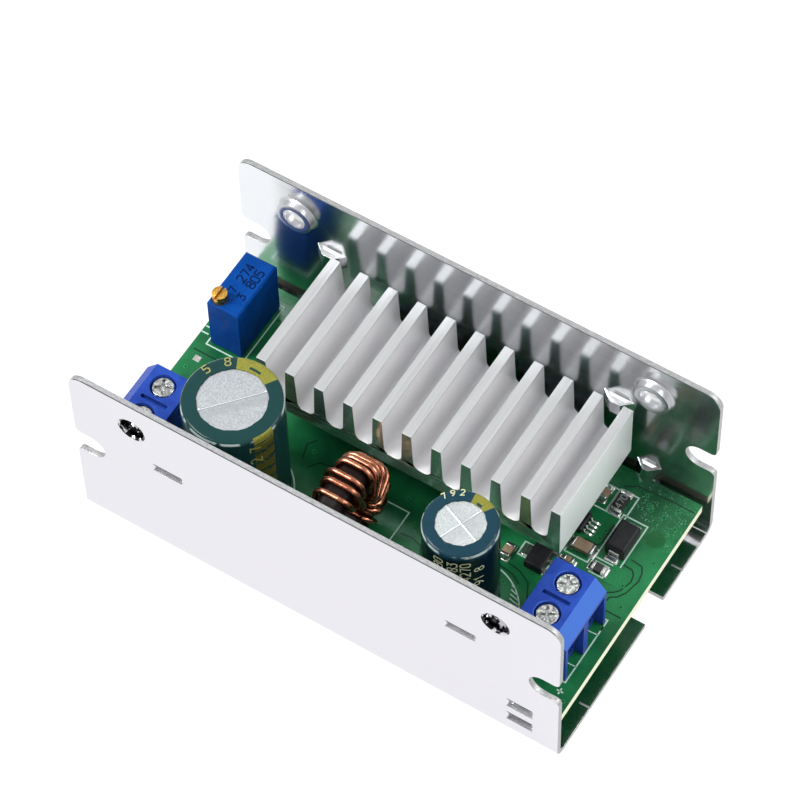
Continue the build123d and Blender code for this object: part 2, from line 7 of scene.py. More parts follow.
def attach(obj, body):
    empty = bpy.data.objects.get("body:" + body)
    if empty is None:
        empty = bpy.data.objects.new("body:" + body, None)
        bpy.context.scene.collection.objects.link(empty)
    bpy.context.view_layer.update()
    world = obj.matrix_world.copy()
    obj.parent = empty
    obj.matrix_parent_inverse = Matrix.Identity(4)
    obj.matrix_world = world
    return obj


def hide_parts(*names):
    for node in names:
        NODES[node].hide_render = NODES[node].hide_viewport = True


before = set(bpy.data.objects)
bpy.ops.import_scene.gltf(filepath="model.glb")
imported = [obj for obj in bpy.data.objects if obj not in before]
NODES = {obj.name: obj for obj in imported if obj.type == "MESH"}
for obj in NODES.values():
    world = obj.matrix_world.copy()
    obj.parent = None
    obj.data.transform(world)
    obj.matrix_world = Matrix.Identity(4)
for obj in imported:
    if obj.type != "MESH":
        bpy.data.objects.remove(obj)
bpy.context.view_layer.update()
MM = 0.001
sc = bpy.context.scene
rng = random.Random(7)

# ---------------------------------------------------------------- camera
cam_data = bpy.data.cameras.new("studio_camera")
cam = bpy.data.objects.new("studio_camera", cam_data)
sc.collection.objects.link(cam)
sc.camera = cam
ROW_R = Vector((0.848553, 0.528812, -0.017747))
ROW_D = Vector((0.439358, -0.722908, -0.533262))
ROW_F = Vector((-0.294825, 0.444704, -0.845764))
EYE = Vector((0.148414, -0.222708, 0.452948))
rot = Matrix((ROW_R, -ROW_D, -ROW_F)).transposed()
cam.matrix_world = Matrix.Translation(EYE) @ rot.to_4x4()
cam_data.sensor_width = 36.0
cam_data.lens = 3973.8 / 800.0 * 36.0
cam_data.clip_start = 0.01
cam_data.clip_end = 20.0
sc.view_settings.view_transform = "Standard"
sc.view_settings.look = "None"


# ---------------------------------------------------------------- node material builder
class Mat:
    def __init__(self, name, color, metallic=0.0, rough=0.5, **kw):
        m = bpy.data.materials.new(name)
        m.use_nodes = True
        self.m, self.t = m, m.node_tree
        self.b = self.t.nodes["Principled BSDF"]
        self.b.inputs["Base Color"].default_value = (*color, 1)
        self.b.inputs["Metallic"].default_value = metallic
        self.b.inputs["Roughness"].default_value = rough
        for k, v in kw.items():
            self.b.inputs[k.replace("_", " ")].default_value = v
        tc = self.n("ShaderNodeTexCoord")
        sc_ = self.n("ShaderNodeVectorMath")
        sc_.operation = "SCALE"
        sc_.inputs["Scale"].default_value = 1000.0
        self.link(tc.outputs["Object"], sc_.inputs[0])
        self.P = sc_.outputs[0]                       # position in millimetres
        sp = self.n("ShaderNodeSeparateXYZ")
        self.link(self.P, sp.inputs[0])
        self.x, self.y, self.z = sp.outputs
        self._n = None

    def n(self, kind):
        return self.t.nodes.new(kind)

    def link(self, a, b):
        self.t.links.new(a, b)

    def put(self, v, s):
        if isinstance(v, (int, float)):
            s.default_value = v
        elif isinstance(v, tuple):
            s.default_value = (*v, 1) if len(v) == 3 and len(s.default_value) == 4 else v
        else:
            self.link(v, s)

    def op(self, kind, a, b=0.0, c=None, clamp=False):
        q = self.n("ShaderNodeMath")
        q.operation = kind
        q.use_clamp = clamp
        self.put(a, q.inputs[0])
        self.put(b, q.inputs[1])
        if c is not None:
            self.put(c, q.inputs[2])
        return q.outputs[0]

    def add(self, a, b): return self.op("ADD", a, b)
    def sub(self, a, b): return self.op("SUBTRACT", a, b)
    def mul(self, a, b): return self.op("MULTIPLY", a, b)
    def absv(self, a): return self.op("ABSOLUTE", a)
    def gt(self, a, b): return self.op("GREATER_THAN", a, b)
    def lt(self, a, b): return self.op("LESS_THAN", a, b)
    def mx(self, a, b): return self.op("MAXIMUM", a, b)
    def mn(self, a, b): return self.op("MINIMUM", a, b)
    def inv(self, a): return self.op("SUBTRACT", 1.0, a)

    def soft(self, v, lo, hi):
        """0 below lo, 1 above hi, smooth between"""
        q = self.n("ShaderNodeMapRange")
        q.interpolation_type = "SMOOTHSTEP"
        self.put(v, q.inputs["Value"])
        q.inputs["From Min"].default_value = lo
        q.inputs["From Max"].default_value = hi
        return q.outputs[0]

    def rng(self, v, a, b, c, d):
        q = self.n("ShaderNodeMapRange")
        self.put(v, q.inputs["Value"])
        q.inputs["From Min"].default_value = a
        q.inputs["From Max"].default_value = b
        q.inputs["To Min"].default_value = c
        q.inputs["To Max"].default_value = d
        return q.outputs[0]

    def band(self, v, lo, hi, e=0.03):
        return self.mul(self.soft(v, lo - e, lo + e), self.inv(self.soft(v, hi - e, hi + e)))

    def stretch(self, s, rot=None):
        q = self.n("ShaderNodeMapping")
        self.link(self.P, q.inputs["Vector"])
        q.inputs["Scale"].default_value = s
        if rot:
            q.inputs["Rotation"].default_value = rot
        return q.outputs[0]

    def noise(self, scale, detail=3.0, rough=0.5, vec=None, dist=0.0):
        q = self.n("ShaderNodeTexNoise")
        self.link(vec or self.P, q.inputs["Vector"])
        q.inputs["Scale"].default_value = scale
        q.inputs["Detail"].default_value = detail
        q.inputs["Roughness"].default_value = rough
        q.inputs["Distortion"].default_value = dist
        return q.outputs[0]

    def cells(self, scale, vec=None, feature="F1", rand=1.0):
        q = self.n("ShaderNodeTexVoronoi")
        q.feature = feature
        self.link(vec or self.P, q.inputs["Vector"])
        q.inputs["Scale"].default_value = scale
        q.inputs["Randomness"].default_value = rand
        return q.outputs

    def mix(self, f, a, b):
        q = self.n("ShaderNodeMix")
        q.data_type = "RGBA"
        self.put(f, q.inputs["Factor"])
        self.put(a, q.inputs[6])
        self.put(b, q.inputs[7])
        return q.outputs[2]

    def mixf(self, f, a, b):
        q = self.n("ShaderNodeMix")
        q.data_type = "FLOAT"
        self.put(f, q.inputs["Factor"])
        self.put(a, q.inputs[2])
        self.put(b, q.inputs[3])
        return q.outputs[0]

    def ramp(self, v, stops):
        q = self.n("ShaderNodeValToRGB")
        self.put(v, q.inputs[0])
        e = q.color_ramp.elements
        while len(e) < len(stops):
            e.new(0.5)
        for i, (p, c) in enumerate(stops):
            e[i].position = p
            e[i].color = (*c, 1) if len(c) == 3 else c
        return q.outputs[0]

    def normal_xyz(self):
        if self._n is None:
            g = self.n("ShaderNodeNewGeometry")
            sp = self.n("ShaderNodeSeparateXYZ")
            self.link(g.outputs["Normal"], sp.inputs[0])
            self._n = sp.outputs
        return self._n

    def color(self, s): self.link(s, self.b.inputs["Base Color"])
    def rough(self, s): self.link(s, self.b.inputs["Roughness"])
    def metal(self, s): self.link(s, self.b.inputs["Metallic"])

    def bump(self, h, dist_mm, strength=1.0, prev=None):
        q = self.n("ShaderNodeBump")
        self.link(h, q.inputs["Height"])
        q.inputs["Distance"].default_value = dist_mm * MM
        q.inputs["Strength"].default_value = strength
        if prev is not None:
            self.link(prev, q.inputs["Normal"])
        self.link(q.outputs[0], self.b.inputs["Normal"])
        return q.outputs[0]

    def disc(self, cx, cy, r, e=0.1):
        dx, dy = self.sub(self.x, cx), self.sub(self.y, cy)
        d = self.op("SQRT", self.add(self.mul(dx, dx), self.mul(dy, dy)))
        return self.inv(self.soft(d, r - e, r + e))

    def polar(self, cx, cy):
        dx, dy = self.sub(self.x, cx), self.sub(self.y, cy)
        d = self.op("SQRT", self.add(self.mul(dx, dx), self.mul(dy, dy)))
        return d, self.mul(self.op("ARCTAN2", dy, dx), 180.0 / math.pi)


def sheet_material():
    k = Mat("folded_sheet", (0.88, 0.89, 0.905), 1.0, 0.12)
    nx, ny, nz = k.normal_xyz()
    ax, ay, az = k.absv(nx), k.absv(ny), k.absv(nz)
    aby = k.absv(k.y)
    cut = k.gt(ax, 0.8)
    cut = k.mx(cut, k.mul(k.gt(k.z, 31.4), k.gt(az, 0.5)))
    wall = k.mul(k.mul(k.gt(aby, 17.6), k.gt(k.z, 2.2)), k.lt(ay, 0.3))
    cut = k.mx(cut, wall)
    base = k.mul(k.mul(k.lt(aby, 18.0), k.lt(k.z, 1.2)), k.lt(az, 0.3))
    cut = k.mx(cut, base)
    # the drawn collars keep the sheet's own skin
    dx = k.sub(k.absv(k.x), 26.9)
    dz = k.sub(k.z, 26.5)
    dc = k.op("SQRT", k.add(k.mul(dx, dx), k.mul(dz, dz)))
    near_c = k.inv(k.soft(dc, 2.9, 3.3))
    cut = k.mul(cut, k.inv(near_c))
    # the near holes' bores, painted dark as painted shade with a few painted glints
    bore_painted_shade = k.mul(k.lt(dc, 1.95), k.lt(k.y, -16.0))
    bore_painted_shade = k.mx(bore_painted_shade, k.mul(k.mul(k.lt(dc, 2.25), k.lt(k.y, -19.2)), k.gt(k.y, -19.97)))
    streak = k.noise(1.0, 4, 0.6, k.stretch((0.03, 2.2, 2.2)))
    cloud = k.noise(0.12, 3, 0.55)
    fine = k.noise(1.0, 2, 0.5, k.stretch((0.4, 14.0, 14.0)))
    tear = k.noise(1.0, 4, 0.7, k.stretch((5.0, 5.0, 5.0)))
    tear2 = k.noise(1.0, 2, 0.5, k.stretch((1.2, 9.0, 9.0)))
    skin = k.mix(streak, (0.80, 0.815, 0.84), (0.94, 0.945, 0.95))
    skin = k.mix(k.mul(cloud, 0.35), skin, (0.86, 0.88, 0.93))
    torn = k.ramp(k.mul(k.add(tear, tear2), 0.5), [(0.30, (0.22, 0.225, 0.23)), (0.50, (0.42, 0.425, 0.43)), (0.72, (0.66, 0.665, 0.67))])
    # painted shadow: a dark line along one side of the sheared top edges, for the shade under the burr
    burr_painted_shadow = k.mx(k.band(k.y, -20.05, -19.84, 0.03), k.band(k.y, 19.1, 19.32, 0.03))
    burr_painted_shadow = k.mul(burr_painted_shadow, k.gt(k.z, 31.5))
    torn = k.mix(k.mul(burr_painted_shadow, 0.85), torn, (0.05, 0.055, 0.06))
    # the inner faces are a little rougher than the outer ones, painted darker as painted shade and paler towards the
    # left end; the outer ones are painted a little violet as a painted reflection tint
    inner = k.mul(k.gt(aby, 18.5), k.gt(k.mul(k.mul(ny, k.y), -1.0), 4.0))
    inner_painted_shade = k.ramp(k.mul(k.add(streak, cloud), 0.5), [(0.35, (0.58, 0.59, 0.61)), (0.62, (0.70, 0.705, 0.72))])
    pale = k.mix(cloud, (0.74, 0.765, 0.80), (0.815, 0.835, 0.85))
    inner_painted_shade = k.mix(k.inv(k.soft(k.x, -31.5, -28.5)), inner_painted_shade, pale)
    outer = k.mul(k.gt(aby, 19.5), k.gt(k.mul(ny, k.y), 4.0))
    outer_painted_tint = k.mix(streak, (0.685, 0.675, 0.718), (0.715, 0.703, 0.742))
    # painted shadow along the upper lips of the near wall's lance slots, dark and a little ragged, for the shade inside
    # the slots
    up = k.mul(k.band(k.absv(k.x), 19.7, 24.0, 0.12), k.band(k.z, 20.56, 20.84, 0.04))
    lo = k.mul(k.band(k.x, 28.7, 32.4, 0.12), k.mx(k.band(k.z, 8.76, 9.02, 0.04), k.band(k.z, 5.36, 5.60, 0.04)))
    lip_painted_shadow = k.mul(k.mul(k.mx(up, lo), k.lt(k.y, -19.9)), k.soft(tear, 0.30, 0.42))
    outer_painted_tint = k.mix(k.mul(lip_painted_shadow, 0.9), outer_painted_tint, (0.035, 0.036, 0.040))
    # the inner faces take the painted shade and the outer faces the painted reflection tint
    skin = k.mix(inner, k.mix(outer, skin, outer_painted_tint), inner_painted_shade)
    skin = k.mix(cut, skin, torn)
    # the far wall's collars are drawn and duller than the sheet round them
    far_c = k.mul(k.mul(near_c, k.gt(k.y, 15.0)), k.lt(k.y, 19.15))
    skin = k.mix(k.mul(far_c, 0.8), skin, k.mix(tear, (0.34, 0.35, 0.36), (0.62, 0.63, 0.65)))
    # painted shade and painted glints inside the near holes' bores
    bore_painted_glint = k.soft(k.noise(1.1, 2, 0.6), 0.52, 0.57)
    skin = k.mix(bore_painted_shade, skin, k.mix(bore_painted_glint, (0.010, 0.010, 0.011), (0.62, 0.63, 0.65)))
    k.color(skin)
    r = k.add(0.07, k.mul(streak, 0.09))
    r = k.add(r, k.mul(inner, 0.07))
    r = k.add(r, k.mul(near_c, 0.03))
    r = k.add(r, k.mul(far_c, 0.16))
    k.rough(k.mixf(cut, r, 0.5))
    h = k.mixf(cut, k.add(k.mul(cloud, 1.0), k.mul(fine, 0.012)), k.mul(tear, 0.6))
    k.bump(h, 0.10, 0.55)
    return k.m


def sink_material():
    k = Mat("extruded_alloy", (0.62, 0.625, 0.64), 0.45, 0.46)
    nx, ny, nz = k.normal_xyz()
    end = k.gt(k.absv(ny), 0.7)
    lines = k.noise(1.0, 4, 0.65, k.stretch((3.0, 0.07, 3.0)))
    lines2 = k.noise(1.0, 2, 0.6, k.stretch((9.0, 0.25, 9.0)))
    cloud = k.noise(0.20, 3, 0.6)
    spots = k.cells(0.55)[0]
    spot = k.inv(k.soft(spots, 0.02, 0.09))
    satin = k.mix(lines, (0.56, 0.565, 0.585), (0.68, 0.685, 0.70))
    satin = k.mix(k.mul(k.soft(cloud, 0.42, 0.7), 0.6), satin, (0.70, 0.69, 0.685))
    satin = k.mix(k.mul(spot, 0.30), satin, (0.40, 0.40, 0.41))
    # painted light: the channels between the fins are painted a little brighter than the outer faces, to offset the
    # shade the fins cast there
    channel_painted_light = k.mul(k.lt(k.z, 23.2), k.mul(k.gt(k.x, -20.4), k.lt(k.x, 24.8)))
    satin = k.mix(k.mul(k.mul(channel_painted_light, k.gt(k.z, 15.5)), 0.42), satin, (0.94, 0.935, 0.94))
    # painted light: the +X end face painted paler and greenish, for the light and the board it reflects
    x_face_painted_light = k.mul(k.gt(nx, 0.8), k.gt(k.x, 24.0))
    satin = k.mix(k.mul(x_face_painted_light, 0.8), satin, k.mix(lines, (0.66, 0.73, 0.70), (0.84, 0.90, 0.875)))
    # painted shade: the fin tops painted darker, to offset the direct light on them
    tops_painted_shade = k.mul(k.gt(k.z, 23.3), k.gt(nz, 0.7))
    satin = k.mix(tops_painted_shade, satin, k.mix(lines, (0.31, 0.32, 0.325), (0.52, 0.53, 0.535)))
    # the end faces carry saw marks and specks; their green tint is a painted reflection of the board
    saw = k.noise(1.0, 3, 0.6, k.stretch((6.0, 1.0, 0.8), (0, 0.5, 0)))
    speck = k.noise(5.0, 2, 0.6)
    sawn_and_reflection = k.mix(saw, (0.40, 0.62, 0.53), (0.66, 0.97, 0.84))
    sawn_and_reflection = k.mix(k.soft(speck, 0.64, 0.78), sawn_and_reflection, (0.80, 0.81, 0.80))
    k.color(k.mix(end, satin, sawn_and_reflection))
    k.metal(k.mixf(end, 0.45, 0.90))
    k.rough(k.mixf(end, k.rng(lines2, 0.25, 0.75, 0.38, 0.52), k.rng(speck, 0.3, 0.7, 0.12, 0.24)))
    k.bump(k.mixf(end, k.add(lines, k.mul(lines2, 0.4)), k.mul(speck, 0.3)), 0.035, 0.5)
    return k.m


def board_material():
    k = Mat("solder_mask", (0.02, 0.14, 0.06), 0.0, 0.3, Coat_Weight=0.06, Coat_Roughness=0.18, Specular_IOR_Level=0.22)
    nx, ny, nz = k.normal_xyz()
    side = k.lt(k.absv(nz), 0.5)
    big = k.noise(0.10, 3, 0.6)
    weave = k.noise(1.0, 2, 0.5, k.stretch((2.6, 2.6, 2.6)))
    fine = k.noise(6.0, 3, 0.6)
    col = k.ramp(big, [(0.34, (0.003, 0.078, 0.026)), (0.5, (0.008, 0.140, 0.044)), (0.66, (0.016, 0.205, 0.066))])
    col = k.mix(k.mul(weave, 0.30), col, (0.003, 0.045, 0.022))
    # tinned copper shows through as a pale speckled patch beside the input end
    patch = k.mul(k.band(k.x, 26.8, 35.2, 0.9), k.band(k.y, 9.6, 18.6, 1.4))
    patch = k.mul(patch, k.inv(k.mul(k.band(k.x, 26.0, 31.4, 0.3), k.band(k.y, 2.0, 12.4, 0.3))))
    grain = k.cells(3.4)[0]
    grain = k.mul(k.inv(k.soft(grain, 0.10, 0.42)), k.soft(k.noise(0.9, 3, 0.6), 0.38, 0.62))
    col = k.mix(k.mul(k.mul(patch, grain), 0.95), col, (0.15, 0.46, 0.23))
    # painted shade: the faces turned downward painted darker
    col = k.mix(k.mul(k.lt(nz, -0.5), 0.5), col, (0.002, 0.022, 0.010))
    round_ = k.disc(32.6, 10.8, 1.35, 0.25)
    col = k.mix(k.mul(round_, 0.9), col, (0.004, 0.095, 0.022))
    # bare laminate on the sides, with the mask's thin edge above
    lam = k.mix(k.noise(1.0, 3, 0.6, k.stretch((1.6, 1.6, 9.0))), (0.60, 0.62, 0.42), (0.86, 0.87, 0.70))
    lam = k.mix(k.gt(k.z, 6.93), lam, (0.02, 0.10, 0.05))
    lam = k.mix(k.lt(k.z, 5.46), lam, (0.02, 0.10, 0.05))
    # painted shade: the board's edges facing the walls painted near black, for the shade where board and walls meet
    lam = k.mix(k.mul(k.gt(k.absv(ny), 0.5), 0.82), lam, (0.030, 0.026, 0.018))
    k.color(k.mix(side, col, lam))
    k.rough(k.mixf(side, k.rng(fine, 0.3, 0.7, 0.24, 0.36), 0.7))
    k.bump(k.mixf(side, k.add(k.mul(weave, 0.5), k.mul(k.mul(patch, grain), 1.2)), fine), 0.03, 0.45)
    return k.m


def plastic(name, base, dark, light, rough=0.34, coat=0.25, grain=7.0, bump=0.012, spec=0.5, lit_slope_color=None):
    k = Mat(name, base, 0.0, rough, Coat_Weight=coat, Coat_Roughness=0.2, Specular_IOR_Level=spec)
    a = k.noise(0.5, 3, 0.55)
    b = k.noise(grain, 3, 0.6)
    c = k.mix(k.soft(a, 0.35, 0.65), dark, base)
    c = k.mix(k.mul(k.soft(b, 0.4, 0.75), 0.4), c, light)
    if lit_slope_color:
        # painted light: sloped faces turned towards +X and up painted lighter, where the light falls on them
        nx, ny, nz = k.normal_xyz()
        slope_painted_light = k.mul(k.mul(k.gt(nx, 0.3), k.gt(nz, 0.3)), k.gt(k.x, 0.0))
        c = k.mix(k.mul(slope_painted_light, 0.9), c, lit_slope_color)
    k.color(c)
    k.rough(k.rng(b, 0.3, 0.7, rough - 0.06, rough + 0.1))
    scr = k.noise(1.0, 2, 0.6, k.stretch((9.0, 0.9, 1.2), (0.2, 0.1, 0.6)))
    k.bump(k.add(k.mul(b, 0.7), k.mul(scr, 0.3)), bump, 0.6)
    return k.m


def metal(name, base, dark, rough=0.3, grain=3.0, bump=0.01, aniso=None, spots=0.3):
    k = Mat(name, base, 1.0, rough)
    a = k.noise(grain, 4, 0.65)
    b = k.noise(grain * 4, 2, 0.6, k.stretch(aniso) if aniso else None)
    k.color(k.mix(k.soft(a, 0.32, 0.72), dark, base))
    k.rough(k.rng(b, 0.25, 0.75, max(0.04, rough - 0.1), rough + 0.12))
    k.bump(k.add(k.mul(a, spots), b), bump, 0.6)
    return k.m


def capacitor_top(name, cx, cy, lap, ang, cross, tone):
    """etched can lid with pressed score lines shown by painted shade and a painted highlight, and plain can below"""
    k = Mat(name, tone, 1.0, 0.45)
    s = k.noise(7.0, 4, 0.75)
    s2 = k.noise(2.2, 3, 0.6)
    c = k.ramp(s, [(0.30, tuple(v * 0.58 for v in tone)), (0.5, tone), (0.68, tuple(min(0.95, v * 1.4) for v in tone))])
    c = k.mix(k.mul(s2, 0.35), c, tuple(v * 0.86 for v in tone))
    dx, dy = k.sub(k.x, cx), k.sub(k.y, cy)
    for a0 in ([ang] if not cross else [ang, ang + 90.0]):
        a = math.radians(a0)
        d = k.add(k.mul(dx, -math.sin(a)), k.mul(dy, math.cos(a)))
        # painted shade beside each score line, a painted highlight along it and a thin painted shadow line
        shade = k.mul(k.band(d, -1.6, -0.1, 0.5), 0.30 if not cross else 0.22)
        c = k.mix(shade, c, tuple(v * 0.62 for v in tone))
        c = k.mix(k.mul(k.band(d, -0.11, 0.11, 0.05), 0.75), c, (0.97, 0.98, 0.98))
        c = k.mix(k.mul(k.band(d, -0.26, -0.15, 0.05), 0.55), c, (0.22, 0.24, 0.25))
    k.color(c)
    k.rough(k.rng(s, 0.3, 0.7, 0.38, 0.6))
    k.bump(k.add(s, k.mul(s2, 0.5)), 0.02, 0.6)
    return k.m


def sleeve_material(name, cx, cy, r, top, base, blue, bands, rim_bands, side):
    """glossy shrink sleeve with a gold polarity band; bands are (from, to) in degrees"""
    k = Mat(name, base, 0.0, 0.22, Coat_Weight=0.05, Coat_Roughness=0.08, Specular_IOR_Level=0.14)
    d, ang = k.polar(cx, cy)
    w = k.noise(0.6, 3, 0.5)
    f = k.noise(6.0, 3, 0.6)
    c = k.mix(w, base, blue)
    c = k.mix(k.mul(k.soft(f, 0.55, 0.8), 0.25), c, tuple(v * 1.6 for v in blue))
    # painted shade: the can's side below the shoulder painted near black
    side_painted_shade = k.mul(k.inv(k.soft(k.z, top - 1.6, top - 0.5)), 1.0 - side)
    c = k.mix(side_painted_shade, c, (0.0005, 0.004, 0.004))
    ink = k.mul(k.band(ang, bands[0], bands[1], 0.5), 1.0)
    gold = k.ramp(f, [(0.3, (0.125, 0.120, 0.016)), (0.55, (0.195, 0.192, 0.032)), (0.75, (0.28, 0.275, 0.070))])
    # a dark bar across the band, as polarity bands carry
    zz = k.absv(k.sub(k.op("FRACT", k.mul(k.z, 0.16), 0.0), 0.5))
    mid = (bands[0] + bands[1]) / 2
    half = (bands[1] - bands[0]) * 0.22
    bar = k.mul(k.mul(k.band(ang, mid - half, mid + half, 0.6), k.lt(zz, 0.05)), k.lt(k.z, top - 2.0))
    notch = k.mul(k.mul(k.band(ang, mid - half * 0.75, mid + half * 0.75, 0.6), k.band(d, r - 1.72, r - 1.36, 0.05)), k.gt(k.z, top - 0.6))
    ink = k.mul(ink, k.inv(k.mx(bar, notch)))
    if rim_bands:
        rim = k.mul(k.band(ang, rim_bands[0], rim_bands[1], 0.5), k.gt(d, r - 0.35))
        marks = k.mul(k.lt(k.absv(k.sub(k.op("FRACT", k.mul(k.z, 0.42), 0.0), 0.5)), 0.2), k.soft(k.noise(2.4, 1, 0.5), 0.42, 0.5))
        rim = k.mul(rim, k.inv(k.mul(marks, k.lt(k.z, top - 1.4))))
        ink = k.mx(ink, rim)
        # painted shade: the gold band painted darker lower down the side
        gold_painted_shade = k.mul(k.inv(k.soft(k.z, top - 2.4, top - 1.2)), 0.72)
        gold = k.mix(gold_painted_shade, gold, (0.020, 0.022, 0.004))
    # the shoulder of the sleeve catches the light in a thin broken line
    edge = k.mul(k.band(d, r - 0.17, r - 0.02, 0.02), k.gt(k.z, top - 0.75))
    edge = k.mul(edge, k.soft(k.noise(0.45, 2, 0.6), 0.42, 0.55))
    c = k.mix(k.mul(edge, 0.75), c, (0.42, 0.50, 0.48))
    k.color(k.mix(ink, c, gold))
    k.rough(k.mixf(ink, k.rng(w, 0.3, 0.7, 0.16, 0.26), 0.42))
    k.bump(k.add(k.mul(w, 1.0), k.mul(f, 0.06)), 0.10, 0.35)
    return k.m


M = {}
M["sheet"] = sheet_material()
M["sink"] = sink_material()
M["board"] = board_material()
M["term"] = plastic("terminal_blue", (0.016, 0.052, 0.300), (0.011, 0.035, 0.235), (0.034, 0.086, 0.38), 0.34, 0.0, 7.0, 0.012, 0.08, (0.060, 0.160, 0.56))
M["trim"] = plastic("trimmer_blue", (0.002, 0.048, 0.245), (0.001, 0.036, 0.20), (0.010, 0.080, 0.31), 0.40, 0.0, 5.0, 0.012, 0.03)
M["epoxy"] = plastic("moulded_black", (0.014, 0.014, 0.016), (0.008, 0.008, 0.010), (0.05, 0.05, 0.055), 0.42, 0.0, 9.0, 0.02, 0.22)
M["chip_dark"] = plastic("resistor_black", (0.012, 0.012, 0.014), (0.007, 0.007, 0.008), (0.05, 0.05, 0.05), 0.3, 0.2, 9.0)
M["chip_brown"] = plastic("chip_ceramic", (0.30, 0.215, 0.14), (0.20, 0.14, 0.09), (0.42, 0.32, 0.22), 0.4, 0.15, 9.0)
M["tin"] = metal("tinned", (0.80, 0.80, 0.78), (0.52, 0.52, 0.51), 0.24, 2.6, 0.02)
M["solder"] = metal("solder", (0.80, 0.80, 0.79), (0.50, 0.51, 0.52), 0.20, 2.0, 0.05)
M["nickel"] = metal("nickel_plate", (0.90, 0.92, 0.90), (0.17, 0.18, 0.18), 0.14, 1.9, 0.05, None, 1.2)
M["cage"] = metal("cage_steel", (0.66, 0.66, 0.64), (0.42, 0.42, 0.41), 0.34, 3.0, 0.01)
M["brass"] = metal("screw_brass", (0.78, 0.46, 0.10), (0.46, 0.24, 0.05), 0.30, 2.6, 0.05, None, 1.2)
M["spring"] = metal("spring_alloy", (0.76, 0.72, 0.62), (0.5, 0.46, 0.38), 0.3, 3.0, 0.01)
M["rubber"] = plastic("black_rubber", (0.012, 0.010, 0.010), (0.006, 0.005, 0.005), (0.03, 0.03, 0.03), 0.6, 0.0, 6.0)
M["pad"] = plastic("pad_sheet", (0.20, 0.24, 0.30), (0.15, 0.18, 0.24), (0.30, 0.34, 0.40), 0.7, 0.0, 6.0)
M["wheel"] = plastic("wheel_plastic", (0.55, 0.55, 0.50), (0.45, 0.45, 0.40), (0.7, 0.7, 0.66), 0.45, 0.0, 6.0)
M["cermet"] = plastic("cermet", (0.60, 0.58, 0.52), (0.45, 0.43, 0.38), (0.75, 0.74, 0.70), 0.6, 0.0, 6.0)
M["core"] = plastic("pressed_core", (0.007, 0.0035, 0.003), (0.003, 0.002, 0.002), (0.022, 0.011, 0.009), 0.42, 0.0, 5.0, 0.03, 0.12)

OUT = dict(x=-17.7, y=-10.5, r=6.7, top=28.6, lap=4.6)
INC = dict(x=15.9, y=-10.1, r=5.0, top=27.0, lap=3.25)
M["cap_out"] = capacitor_top("etched_lid_large", OUT["x"], OUT["y"], OUT["lap"], 49.0, False, (0.485, 0.51, 0.535))
M["cap_in"] = capacitor_top("etched_lid_small", INC["x"], INC["y"], INC["lap"], 67.5, True, (0.60, 0.64, 0.645))
M["sleeve_out"] = sleeve_material("sleeve_large", OUT["x"], OUT["y"], OUT["r"], OUT["top"],
                                  (0.006, 0.031, 0.028), (0.008, 0.040, 0.044), (60.0, 117.0), (-33.0, -7.0), 0.95)
M["sleeve_in"] = sleeve_material("sleeve_small", INC["x"], INC["y"], INC["r"], INC["top"],
                                 (0.005, 0.030, 0.038), (0.008, 0.037, 0.066), (60.0, 98.0), None, 0.15)


def wire_material():
    k = Mat("enamelled_copper", (0.55, 0.20, 0.10), 1.0, 0.24, Coat_Weight=0.3, Coat_Roughness=0.10)
    a = k.noise(0.9, 3, 0.6)
    b = k.noise(9.0, 2, 0.5)
    c = k.mix(k.soft(a, 0.3, 0.7), (0.30, 0.095, 0.05), (0.60, 0.235, 0.135))
    c = k.mix(k.mul(k.soft(b, 0.5, 0.8), 0.35), c, (0.80, 0.42, 0.28))
    k.color(c)
    k.rough(k.rng(b, 0.3, 0.7, 0.18, 0.32))
    k.bump(b, 0.01, 0.4)
    return k.m


M["wire"] = wire_material()


def ink(name, c, c2, rough=0.45, spec=0.5):
    k = Mat(name, c, 0.0, rough, Specular_IOR_Level=spec)
    a = k.noise(5.0, 4, 0.7)
    k.color(k.mix(k.soft(a, 0.35, 0.7), c2, c))
    k.rough(k.rng(a, 0.3, 0.7, rough - 0.08, rough + 0.12))
    k.bump(a, 0.01, 0.5)
    return k.m


M["legend"] = ink("white_legend", (0.62, 0.78, 0.70), (0.36, 0.55, 0.45), 0.5)
M["gap"] = ink("mask_over_laminate", (0.004, 0.040, 0.018), (0.002, 0.028, 0.014), 0.3, 0.22)
M["pour"] = ink("mask_over_copper", (0.017, 0.215, 0.070), (0.012, 0.170, 0.055), 0.28, 0.22)
M["gold_ink"] = ink("gold_ink", (0.32, 0.31, 0.10), (0.20, 0.195, 0.05), 0.4)
M["pale_ink"] = ink("pale_ink", (0.62, 0.64, 0.46), (0.34, 0.36, 0.18), 0.4)
M["dark_ink"] = ink("dark_ink", (0.002, 0.008, 0.036), (0.002, 0.012, 0.055), 0.4, 0.03)
M["grey_ink"] = ink("grey_ink", (0.42, 0.43, 0.42), (0.25, 0.26, 0.26), 0.5)

